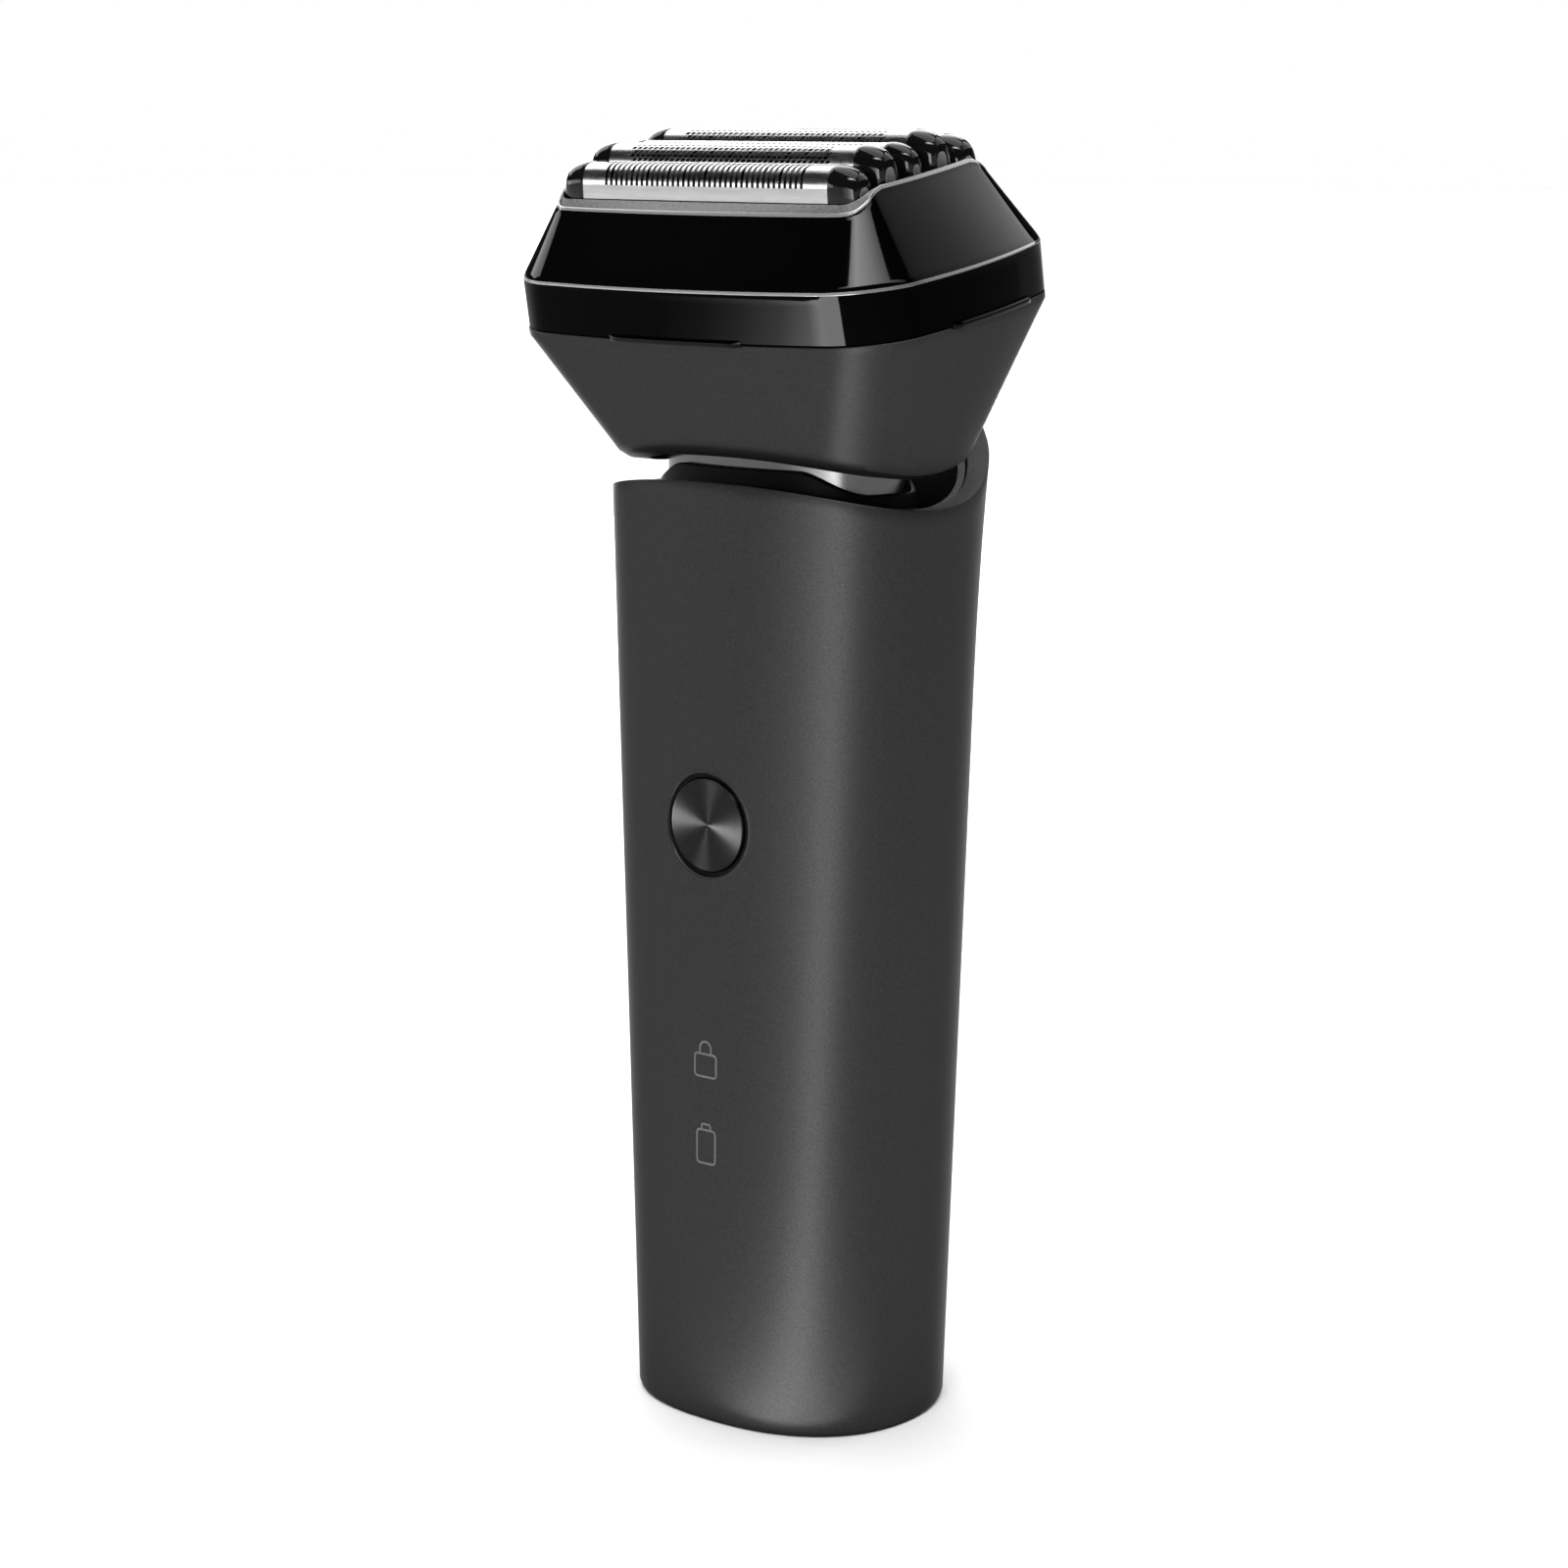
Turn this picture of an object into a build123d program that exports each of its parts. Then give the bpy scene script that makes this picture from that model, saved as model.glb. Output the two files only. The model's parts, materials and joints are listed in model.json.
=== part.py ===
from build123d import *
import math
import os

# Foil shaver with a nodding five-foil head. Millimetres, +Z up, button side towards -Y, and the
# origin at the centre line on the base face. HEAD carries the head's own frame (x, v back, w up).

# Handle section: superellipse with a flatter front and a deeper, rounder back
HALF_WIDTH_BASE, HALF_WIDTH_SLOPE = 20.085, 0.0403
FRONT_BASE, FRONT_SLOPE, FRONT_POWER = 16.557, -0.006, 2.34
BACK_BASE, BACK_SLOPE, BACK_POWER = 20.177, 0.0257, 1.92
FLARE_START, FLARE_GAIN, FLARE_SPAN = 92.0, 2.1, 30.0
WALL = 1.7
RIM_WALL = 2.7
LINER_WALL, LINER_DROP = 0.9, 0.35
LOOSE_FIT = 0.2
FIT = 0.05
BASE_CHAMFER, CHAMFER_INSET = 0.8, 0.7
HANDLE_TOP = 129.0
SECTION_POINTS = 28
SECTION_SPACING = 15.0

# Head tilt: the head's underside and the rocker guide share one axis along X
TILT_Y, TILT_Z = -1.5, 151.0
RIM_RADIUS, RIM_Y, RIM_FLAT_Z = 34.7, -2.0, 127.2
UNDERSIDE_RADIUS, UNDERSIDE_WALL = 31.2, 1.6
TILT_LIMIT = 4.0
TILT_ROOM = 2.2

# Head frame
HEAD_Y, HEAD_Z, HEAD_NOD = -2.52, 145.85, 9.794
HEAD = Location((0, HEAD_Y, HEAD_Z), (HEAD_NOD, 0, 0))

# Head outlines: half width, half depth, side bow, front bow, corner radius, height w
COVER_FOOT = (31.886, 20.441, 3.06, 2.28, 6.99, -6.167)
COVER_EDGE = (32.096, 20.515, 3.06, 2.28, 7.64, 0.0)
COVER_CROWN = (24.95, 12.6, 1.0, 0.8, 2.5, 10.5)
SHELL_LIP = (31.886, 20.441, 3.06, 2.28, 6.99, -6.32)
SHELL_SHOULDER = (31.886, 20.441, 3.06, 2.28, 6.99, -7.17)
SHELL_TAPER_X, SHELL_TAPER_Y = 0.509, 0.336
SHELL_FOOT_W = -29.0
SHELL_WALL = 1.8
COVER_WALL = 1.2
RIM_LOW, RIM_HIGH = 8.0, 10.4
RIM_BEND_OUT, RIM_BEND_IN = 13.9, 8.4
OPENING = (23.95, 12.8, 0.3, 0.1, 2.0)

# Finger lips round the cover's foot
LIP_DEPTH, LIP_HEIGHT = 0.7, 0.75
LIP_FRONT_V, LIP_SIDE_X = 20.4, 31.8
LIP_HALF_WIDTH = 10.5
LIP_SIDE_LOW, LIP_SIDE_HIGH = -6.5, 9.0

# Foil units
UNIT_V = (-9.99, -4.97, 0.0, 4.97, 9.99)
UNIT_TOP = (13.16, 14.6, 14.0, 14.6, 13.16)
UNIT_HALF = (2.35, 2.3, 1.75, 2.3, 2.35)
DOME_SHARE = 0.75
FOIL_HALF_LENGTH = 19.45
FOIL_THICK = 0.25
FOIL_SKIRT_W = 7.2
CAP_END, CAP_RISE = 23.2, 0.1
CAP_FOOT_W = 3.8
CAP_CORNER = 1.6

# Inner cutters
CUTTER_HALF_LENGTH, CUTTER_FOOT_W, CUTTER_GAP = 17.6, 8.2, 0.15
GULLET_COUNT, GULLET_PITCH, GULLET_WIDTH, GULLET_DEPTH = 11, 3.0, 0.7, 1.6
STEM_HALF_LENGTH, STEM_HALF_DEPTH, STEM_FOOT_W = 11.5, 1.3, 3.4
SOCKET_TOP_W, SOCKET_FIT = 7.4, 0.08
STROKE = 1.0

# Cassette floor, springs and keepers
FLOOR_W, FLOOR_THICK = 1.0, 1.2
FLOOR_WINDOW_X, FLOOR_WINDOW_V = 18.9, 12.0
SPRING_X, SPRING_LENGTH, SPRING_WIDTH, SPRING_THICK = 21.0, 3.2, 2.4, 0.25
KEEPER_INNER, KEEPER_OUTER, KEEPER_HALF_V, KEEPER_THICK = 20.0, 24.0, 11.0, 0.8

# Deck and drive
DECK_W, DECK_THICK, DECK_EDGE = -9.4, 1.8, 0.6
DECK_TOP_W = DECK_W + DECK_THICK
BRIDGE_W, BRIDGE_THICK = -4.6, 2.4
BRIDGE_TOP_W = BRIDGE_W + BRIDGE_THICK
BRIDGE_HALF_X, BRIDGE_HALF_V = 15.0, 11.6
ROD_RADIUS, ROD_V, ROD_LENGTH, ROD_FIT = 0.8, 6.4, 38.0, 0.06
ROD_POST_X, ROD_POST_HALF_X, ROD_POST_HALF_V, ROD_POST_RISE = 18.0, 1.0, 1.8, 3.4
PRONG_X, PRONG_RADIUS, PRONG_TOP_W, PRONG_ROOT = 9.0, 0.65, 4.8, 0.8
MAGNET_X, MAGNET_V, MAGNET_RADIUS, MAGNET_THICK = 22.0, 9.0, 1.5, 1.0
SEAL_OUTER = (27.6, 16.4, 2.0, 1.4, 5.0)
SEAL_INNER = (26.4, 15.2, 2.0, 1.4, 4.0)
SEAL_THICK = 0.8

# Motor and crank
MOTOR_RADIUS, MOTOR_WALL, MOTOR_END = 7.2, 0.7, 0.8
MOTOR_FOOT_W, MOTOR_TOP_W = -19.0, DECK_W
MOTOR_MAGNET, MAGNET_GAP, MAGNET_INSET = 1.3, 3.0, 1.4
MOTOR_SCREW_X, MOTOR_SCREW_RADIUS, MOTOR_HEAD_RADIUS, MOTOR_HEAD = 5.6, 0.8, 1.5, 0.9
CORE_RADIUS, CORE_INSET, CORE_SLOT, CORE_SLOT_START = 4.6, 1.6, 1.0, 2.4
SHAFT_RADIUS = 1.0
DECK_BORE = 4.0
CRANK_OFFSET, CRANK_RADIUS, CRANK_ROOM = 1.0, 0.8, 0.5
DISC_RADIUS, DISC_THICK, DISC_GAP = 2.8, 1.2, 0.6

# Neck and rocker guide
NECK_Y, NECK_HALF_WIDTH, NECK_HALF_DEPTH, NECK_POWER = -0.7, 17.3, 9.4, 2.3
NECK_TOP, NECK_WALL = 124.6, 1.0
COLLAR_WALL, COLLAR_TOP = 0.9, 119.6
COLLAR_DIP_X, COLLAR_DIP_Z, COLLAR_DIP_RADIUS = 17.5, 124.7, 7.0
BRACKET_Z, BRACKET_TOP = 109.5, 113.0
LEAD_HOLE = 2.5
CHEEK_X, CHEEK_HALF, CHEEK_TOP = 12.6, 1.1, 128.6
CHEEK_FRONT, CHEEK_BACK = -5.6, 3.3
CHEEK_HEAD_FRONT, CHEEK_HEAD_BACK, CHEEK_HEAD_RISE = -6.4, 3.4, 0.2
GUIDE_RADIUS = 24.6
GUIDE_ANGLES = (-8.0, 8.0)
GUIDE_PIN_X, GUIDE_PIN_RADIUS, GUIDE_PIN_LENGTH, GUIDE_FIT = 13.9, 1.0, 4.6, 0.06
RAIL_INNER, RAIL_OUTER = 14.0, 15.8
RAIL_FRONT, RAIL_BACK, RAIL_TOP, RAIL_RISE = -11.5, 9.0, 133.5, 0.6
RAIL_ARM_HALF_V, RAIL_ARM_FOOT_W = 7.0, -14.0
RAIL_GAP = 0.2

# Button
BUTTON_Z, BUTTON_RADIUS, BUTTON_HOLE = 76.76, 5.85, 6.6
BUTTON_FACE_Y, BUTTON_BACK_Y, BUTTON_CHAMFER = -15.85, -14.4, 0.2
STEM_RADIUS, STEM_BACK_Y = 2.4, -12.75
RING_FRONT_Y, RING_BACK_Y, RING_FIT, RING_GAP = -15.45, -13.0, 0.02, 0.15
BUTTON_SEAL_BACK_Y, BUTTON_SEAL_HOLE = -12.4, 2.6

# Board and what sits on it
BOARD_FRONT_Y, BOARD_THICK = -11.5, 1.2
BOARD_HALF_WIDTH, BOARD_LOW, BOARD_HIGH = 9.0, 12.0, 102.0
BOARD_BACK_Y = BOARD_FRONT_Y + BOARD_THICK
BOARD_SCREW_X, BOARD_SCREW_Z, BOARD_SCREW_RADIUS = 7.0, (15.0, 99.0), 1.0
BOARD_HEAD_RADIUS, BOARD_HEAD_THICK = 1.8, 1.0
CHIP_HEIGHT = 1.0
CHIPS = ((-6, 0, 84, 90), (2, 7, 86, 91), (-5, 5, 20, 26), (-7, -3, 62, 66))
SWITCH_HALF, SWITCH_BODY, SWITCH_STEM, SWITCH_STEM_RADIUS = 3.0, 0.5, 0.3, 1.6
ICON_Z = (48.6, 37.0)
LED_HALF, LED_HEIGHT = 0.8, 0.6
GUIDE_HALF_X, GUIDE_HALF_Z, GUIDE_FRONT_Y = 2.2, 3.2, -14.4
POCKET_HALF, POCKET_DEPTH = 1.1, 0.9

# Cell and chassis
CELL_RADIUS, CELL_LENGTH, CELL_Y, CELL_Z = 9.2, 65.0, 0.9, 14.0
CELL_NIPPLE_RADIUS, CELL_NIPPLE = 3.0, 1.0
TAB_HALF_X, TAB_REACH, TAB_SHORT, TAB_THICK = 3.0, 6.0, 3.0, 0.2
PLATE_HALF_X, PLATE_FRONT_Y, PLATE_BACK_Y, PLATE_LOW, PLATE_HIGH = 10.5, 12.4, 14.2, 8.0, 104.0
RIB_HALF_X, RIB_Z, RIB_THICK = 13.0, (9.0, 40.0, 70.0, 84.0, 100.0), 2.4
POST_X, POST_HALF = 12.0, 1.0
CELL_ROOM, CELL_ROOM_LOW, CELL_ROOM_HIGH = 0.15, 3.0, 1.5

# Base cap, charging port and screws
BASE_THICK, BASE_SEAL_THICK, BASE_SEAL_WIDTH = 3.0, 0.8, 1.3
PORT_Y = 5.0
PORT_OUTER, PORT_INNER, PORT_HOLE = (9.0, 3.2), (8.4, 2.6), (9.3, 3.5)
PORT_FOOT, PORT_MOUTH_DEPTH, PORT_TOP = 0.3, 6.9, 7.6
TONGUE_HALF_X, TONGUE_HALF_Y, TONGUE_FOOT = 3.4, 0.35, 1.2
BASE_SCREW_X, BASE_SCREW_Y, BASE_SCREW_RADIUS, BASE_SCREW_TOP = 11.0, -6.0, 1.0, 12.0
BASE_HEAD_LOW, BASE_HEAD_HIGH, BASE_HEAD_RADIUS = 0.3, 1.2, 2.0

# Cutting tools reach past the body that they cut
PAST = 1.0
FAR = 40.0


def superellipse(half_width, front, back, z, front_power=FRONT_POWER, back_power=BACK_POWER, y=0.0):
    """Closed face at height z whose front and back halves have their own depth and power."""
    points = []
    for i in range(SECTION_POINTS):
        angle = 2 * math.pi * i / SECTION_POINTS
        c, s = math.cos(angle), math.sin(angle)
        depth, power = (back, back_power) if s > 0 else (front, front_power)
        px = half_width * math.copysign(abs(c) ** (2 / power), c)
        py = depth * math.copysign(abs(s) ** (2 / power), s)
        points.append((px, y + py, z))
    return make_face(Spline(*points, periodic=True))


def handle_section(z, inset=0.0):
    flare = FLARE_GAIN * min(1.0, max(0.0, (z - FLARE_START) / FLARE_SPAN)) ** 2
    return superellipse(
        HALF_WIDTH_BASE + HALF_WIDTH_SLOPE * z - inset,
        FRONT_BASE + FRONT_SLOPE * z - inset,
        BACK_BASE + BACK_SLOPE * z + flare - inset,
        z,
    )


def handle_loft(low, high, inset):
    """Smooth handle body between two heights, set in from the outside by inset."""
    steps = 3 + int((high - low) / SECTION_SPACING)
    heights = [low + (high - low) * i / (steps - 1) for i in range(steps)]
    return loft([handle_section(z, inset) for z in heights])


def x_cylinder(radius, length, y, z, x=0.0):
    """Cylinder along X, centred on x."""
    return Location((x, y, z), (0, 90, 0)) * Cylinder(radius, length)


def tilt_cylinder(radius):
    """Cylinder about the tilt axis, wider than the head."""
    return x_cylinder(radius, 2 * FAR, TILT_Y, TILT_Z)


def y_cylinder(radius, y_low, y_high, x, z):
    """Cylinder along Y from y_low to y_high."""
    place = Location((x, (y_low + y_high) / 2, z), (90, 0, 0))
    return place * Cylinder(radius, y_high - y_low)


def block(x_low, x_high, y_low, y_high, z_low, z_high):
    centre = ((x_low + x_high) / 2, (y_low + y_high) / 2, (z_low + z_high) / 2)
    return Location(centre) * Box(x_high - x_low, y_high - y_low, z_high - z_low)


def tower(radius, z_low, z_high, x=0.0, y=0.0):
    """Cylinder along Z from z_low to z_high."""
    return Location((x, y, (z_low + z_high) / 2)) * Cylinder(radius, z_high - z_low)


def joined(pieces):
    total = pieces[0]
    for piece in pieces[1:]:
        total = total + piece
    return total


def bowed_rectangle(half_x, half_y, bow_x, bow_y, radius, w, inset=0.0):
    """Rounded rectangle whose four sides bow outwards, as a face at height w."""
    hx, hy = half_x - inset, half_y - inset
    cx, cy = hx - bow_x, hy - bow_y
    sides = [
        ThreePointArc((-cx, -cy), (0, -hy), (cx, -cy)),
        ThreePointArc((cx, -cy), (hx, 0), (cx, cy)),
        ThreePointArc((cx, cy), (0, hy), (-cx, cy)),
        ThreePointArc((-cx, cy), (-hx, 0), (-cx, -cy)),
    ]
    face = make_face(sides)
    face = fillet(face.vertices(), max(radius - inset / 2, COVER_WALL / 2))
    return Location((0, 0, w)) * face


def bowed_loft(lower, upper, inset=0.0):
    return loft([bowed_rectangle(*lower, inset=inset), bowed_rectangle(*upper, inset=inset)], ruled=True)


def save(name, shape):
    export_step(shape, f"parts/{name}.step")


# ---------------------------------------------------------------- handle


def rim_cutter(radius):
    """Space above the saddle rim, open upwards at the back."""
    arch = x_cylinder(radius, 2 * FAR, RIM_Y, TILT_Z)
    return arch + block(-FAR, FAR, -FAR, FAR, RIM_FLAT_Z, RIM_FLAT_Z + FAR)


def handle_shell():
    """Tapered tube with a chamfered foot, a saddle rim and the button's hole."""
    foot = loft([handle_section(0, CHAMFER_INSET), handle_section(BASE_CHAMFER)], ruled=True)
    outer = foot + handle_loft(BASE_CHAMFER, HANDLE_TOP, 0)
    inner = handle_loft(-PAST, BRACKET_Z, WALL)
    inner = inner + handle_loft(BRACKET_Z - PAST, HANDLE_TOP + PAST, RIM_WALL)
    hole = y_cylinder(BUTTON_HOLE, -FAR, BOARD_FRONT_Y, 0, BUTTON_Z)
    return outer - inner - rim_cutter(RIM_RADIUS) - hole


def stadium(size, z_low, z_high, y):
    """Rounded slot shape upright along Z, longer along X."""
    width, depth = size
    radius = depth / 2
    core = block(-width / 2 + radius, width / 2 - radius, y - radius, y + radius, z_low, z_high)
    ends = [tower(radius, z_low, z_high, side * (width / 2 - radius), y) for side in (-1, 1)]
    return core + ends[0] + ends[1]


def base_cap():
    """Flat plug in the foot with the port's hole and two countersunk screw holes."""
    plate = loft([handle_section(z, WALL + FIT) for z in (0, BASE_THICK)], ruled=True)
    plate = plate - stadium(PORT_HOLE, -PAST, BASE_THICK + PAST, PORT_Y)
    holes = []
    for x in (-BASE_SCREW_X, BASE_SCREW_X):
        holes.append(tower(BASE_SCREW_RADIUS + 2 * FIT, 0, BASE_THICK + PAST, x, BASE_SCREW_Y))
        holes.append(tower(BASE_HEAD_RADIUS + 2 * FIT, -PAST, BASE_HEAD_HIGH, x, BASE_SCREW_Y))
    return plate - joined(holes)


def base_seal():
    """Flat gasket on top of the base cap."""
    low, high = BASE_THICK, BASE_THICK + BASE_SEAL_THICK
    ring = loft([handle_section(z, WALL + FIT) for z in (low, high)], ruled=True)
    inside = [handle_section(z, WALL + BASE_SEAL_WIDTH) for z in (low - PAST, high + PAST)]
    return ring - loft(inside, ruled=True)


def port_shell():
    mouth = stadium(PORT_INNER, 0, PORT_MOUTH_DEPTH, PORT_Y)
    return stadium(PORT_OUTER, PORT_FOOT, PORT_TOP, PORT_Y) - mouth


def port_tongue():
    y_low, y_high = PORT_Y - TONGUE_HALF_Y, PORT_Y + TONGUE_HALF_Y
    return block(-TONGUE_HALF_X, TONGUE_HALF_X, y_low, y_high, TONGUE_FOOT, PORT_MOUTH_DEPTH)


def inner_chassis():
    """Back plate with ribs that cradle the cell and carry the board."""
    front, back = BOARD_BACK_Y, PLATE_FRONT_Y
    pieces = [block(-PLATE_HALF_X, PLATE_HALF_X, back, PLATE_BACK_Y, PLATE_LOW, PLATE_HIGH)]
    pieces += [block(-RIB_HALF_X, RIB_HALF_X, front, back, z, z + RIB_THICK) for z in RIB_Z]
    top = RIB_Z[-1] + RIB_THICK
    pieces += [block(x - POST_HALF, x + POST_HALF, front, back, RIB_Z[0], top) for x in (-POST_X, POST_X)]
    pocket_top = CELL_Z + CELL_LENGTH + CELL_ROOM_HIGH
    cuts = [tower(CELL_RADIUS + CELL_ROOM, CELL_Z - CELL_ROOM_LOW, pocket_top, 0, CELL_Y)]
    for x in (-BASE_SCREW_X, BASE_SCREW_X):
        cuts.append(tower(BASE_SCREW_RADIUS, BASE_THICK, CELL_Z, x, BASE_SCREW_Y))
    return joined(pieces) - joined(cuts)


def battery_cell():
    shoulder = CELL_Z + CELL_LENGTH - CELL_NIPPLE
    can = tower(CELL_RADIUS, CELL_Z, shoulder, 0, CELL_Y)
    return can + tower(CELL_NIPPLE_RADIUS, shoulder, shoulder + CELL_NIPPLE, 0, CELL_Y)


def battery_tabs():
    """Nickel strips on the two ends of the cell."""
    top = CELL_Z + CELL_LENGTH
    front = CELL_Y - TAB_REACH
    upper = block(-TAB_HALF_X, TAB_HALF_X, front, CELL_Y + TAB_SHORT, top, top + TAB_THICK)
    lower = block(-TAB_HALF_X, TAB_HALF_X, front, CELL_Y + TAB_REACH, CELL_Z - TAB_THICK, CELL_Z)
    return Compound([upper, lower])


def board_screw_places():
    return [(x, z) for x in (-BOARD_SCREW_X, BOARD_SCREW_X) for z in BOARD_SCREW_Z]


def circuit_board():
    half = BOARD_HALF_WIDTH
    board = block(-half, half, BOARD_FRONT_Y, BOARD_BACK_Y, BOARD_LOW, BOARD_HIGH)
    front, back = BOARD_FRONT_Y - PAST, BOARD_BACK_Y + PAST
    holes = [y_cylinder(BOARD_SCREW_RADIUS, front, back, x, z) for x, z in board_screw_places()]
    return board - joined(holes)


def board_components():
    """Controller, charger and two capacitors on the board's face."""
    front, back = BOARD_FRONT_Y - CHIP_HEIGHT, BOARD_FRONT_Y
    return Compound([block(x_low, x_high, front, back, low, high) for x_low, x_high, low, high in CHIPS])


def tact_switch():
    face = BOARD_FRONT_Y - SWITCH_BODY
    low, high = BUTTON_Z - SWITCH_HALF, BUTTON_Z + SWITCH_HALF
    body = block(-SWITCH_HALF, SWITCH_HALF, face, BOARD_FRONT_Y, low, high)
    return body + y_cylinder(SWITCH_STEM_RADIUS, face - SWITCH_STEM, face + FIT, 0, BUTTON_Z)


def indicator_leds():
    front, back = BOARD_FRONT_Y - LED_HEIGHT, BOARD_FRONT_Y
    return Compound([block(-LED_HALF, LED_HALF, front, back, z - LED_HALF, z + LED_HALF) for z in ICON_Z])


def light_guide(z):
    """Clear block that carries an indicator's light to the inside of the front wall."""
    half_x, half_z, pocket = GUIDE_HALF_X, GUIDE_HALF_Z, POCKET_HALF
    body = block(-half_x, half_x, GUIDE_FRONT_Y, BOARD_FRONT_Y, z - half_z, z + half_z)
    front, back = BOARD_FRONT_Y - POCKET_DEPTH, BOARD_FRONT_Y + PAST
    return body - block(-pocket, pocket, front, back, z - pocket, z + pocket)


def button_ring():
    """Black sleeve that lines the button's hole."""
    ring = y_cylinder(BUTTON_HOLE - RING_FIT, RING_FRONT_Y, RING_BACK_Y, 0, BUTTON_Z)
    hole = y_cylinder(BUTTON_RADIUS + RING_GAP, RING_FRONT_Y - PAST, RING_BACK_Y + PAST, 0, BUTTON_Z)
    return ring - hole


def button_seal():
    """Rubber washer that the stem passes through."""
    washer = y_cylinder(BUTTON_HOLE - RING_FIT, RING_BACK_Y, BUTTON_SEAL_BACK_Y, 0, BUTTON_Z)
    return washer - y_cylinder(BUTTON_SEAL_HOLE, RING_BACK_Y - PAST, BUTTON_SEAL_BACK_Y + PAST, 0, BUTTON_Z)


def base_screws():
    pieces = []
    for x in (-BASE_SCREW_X, BASE_SCREW_X):
        head = tower(BASE_HEAD_RADIUS, BASE_HEAD_LOW, BASE_HEAD_HIGH, x, BASE_SCREW_Y)
        thread = tower(BASE_SCREW_RADIUS - RING_FIT, BASE_HEAD_HIGH, BASE_SCREW_TOP, x, BASE_SCREW_Y)
        pieces.append(head + thread)
    return Compound(pieces)


def board_screws():
    """Four pan-head screws through the board's corners."""
    pieces = []
    for x, z in board_screw_places():
        head = y_cylinder(BOARD_HEAD_RADIUS, BOARD_FRONT_Y - BOARD_HEAD_THICK, BOARD_FRONT_Y, x, z)
        pieces.append(head + y_cylinder(BOARD_SCREW_RADIUS - RING_FIT, BOARD_FRONT_Y, BOARD_BACK_Y, x, z))
    return Compound(pieces)


# ---------------------------------------------------------------- neck


def neck_section(z, grow=0.0):
    depth = NECK_HALF_DEPTH + grow
    return superellipse(NECK_HALF_WIDTH + grow, depth, depth, z, NECK_POWER, NECK_POWER, NECK_Y)


def neck_tube(z_low, z_high, grow):
    return loft([neck_section(z_low, grow), neck_section(z_high, grow)], ruled=True)


def neck_sleeve():
    """Bright elliptical tube that reaches up into the head."""
    return neck_tube(BRACKET_TOP, NECK_TOP, 0) - neck_tube(BRACKET_TOP - PAST, NECK_TOP + PAST, -NECK_WALL)


def neck_collar():
    """Dark sleeve round the neck; its top edge dips towards the sides."""
    sleeve = neck_tube(BRACKET_TOP, COLLAR_TOP, COLLAR_WALL)
    sleeve = sleeve - neck_tube(BRACKET_TOP - PAST, COLLAR_TOP + PAST, FIT)
    dips = [y_cylinder(COLLAR_DIP_RADIUS, -FAR, FAR, side * COLLAR_DIP_X, COLLAR_DIP_Z) for side in (-1, 1)]
    return sleeve - joined(dips)


def neck_bracket():
    """Plate that closes the handle, with two cheeks for the guide pins."""
    sections = [handle_section(z, RIM_WALL + LOOSE_FIT) for z in (BRACKET_Z, BRACKET_TOP)]
    plate = loft(sections, ruled=True) - tower(LEAD_HOLE, BRACKET_Z - PAST, BRACKET_TOP + PAST, 0, NECK_Y)
    pieces = [plate]
    for side in (-1, 1):
        x_low, x_high = side * CHEEK_X - CHEEK_HALF, side * CHEEK_X + CHEEK_HALF
        head_z = NECK_TOP + CHEEK_HEAD_RISE
        pieces.append(block(x_low, x_high, CHEEK_FRONT, CHEEK_BACK, BRACKET_TOP - PAST, CHEEK_TOP))
        pieces.append(block(x_low, x_high, CHEEK_HEAD_FRONT, CHEEK_HEAD_BACK, head_z, CHEEK_TOP))
    return joined(pieces) - joined(guide_pin_list())


def rim_liner():
    """Thin wall inside the rim, a little lower than it."""
    inset = RIM_WALL + LOOSE_FIT
    liner = handle_loft(BRACKET_TOP, HANDLE_TOP, inset)
    liner = liner - handle_loft(BRACKET_TOP - PAST, HANDLE_TOP + PAST, inset + LINER_WALL)
    return liner - rim_cutter(RIM_RADIUS + LINER_DROP)


def guide_point(angle):
    """Depth and height of the point on the guide circle at an angle from straight down."""
    turn = math.radians(angle)
    return TILT_Y + GUIDE_RADIUS * math.sin(turn), TILT_Z - GUIDE_RADIUS * math.cos(turn)


def guide_pin_list():
    """Four pins along X at the guide radius, two each side of straight down."""
    pins = []
    for x in (-GUIDE_PIN_X, GUIDE_PIN_X):
        for angle in GUIDE_ANGLES:
            y, z = guide_point(angle)
            pins.append(x_cylinder(GUIDE_PIN_RADIUS, GUIDE_PIN_LENGTH, y, z, x))
    return pins


def guide_pins():
    return Compound(guide_pin_list())


# ---------------------------------------------------------------- head


def shell_outline(w):
    depth = SHELL_SHOULDER[5] - w
    half_x = SHELL_SHOULDER[0] - SHELL_TAPER_X * depth
    half_y = SHELL_SHOULDER[1] - SHELL_TAPER_Y * depth
    return (half_x, half_y, SHELL_SHOULDER[2], SHELL_SHOULDER[3], SHELL_SHOULDER[4], w)


def head_lower_shell():
    """Tapering shell with a rolled underside and a way in for the neck."""
    foot = shell_outline(SHELL_FOOT_W)
    outer = bowed_loft(SHELL_SHOULDER, SHELL_LIP) + bowed_loft(foot, SHELL_SHOULDER)
    inner = bowed_loft(foot, SHELL_SHOULDER, SHELL_WALL)
    inner = inner + bowed_loft(SHELL_SHOULDER, (*SHELL_LIP[:5], 0.0), SHELL_WALL)
    outer = (HEAD * outer) & tilt_cylinder(UNDERSIDE_RADIUS)
    inner = (HEAD * inner) & tilt_cylinder(UNDERSIDE_RADIUS - UNDERSIDE_WALL)
    way_in = neck_tube(BRACKET_TOP - PAST, NECK_TOP + 3 * PAST, 2 * RAIL_GAP + LOOSE_FIT)
    swing = joined([Location((0, dy, 0)) * way_in for dy in (-TILT_ROOM, 0, TILT_ROOM)])
    return outer - inner - swing


def rod_bores(radius):
    w = BRIDGE_W + BRIDGE_THICK / 2
    return [x_cylinder(radius, 2 * FAR, v, w) for v in (-ROD_V, ROD_V)]


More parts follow.
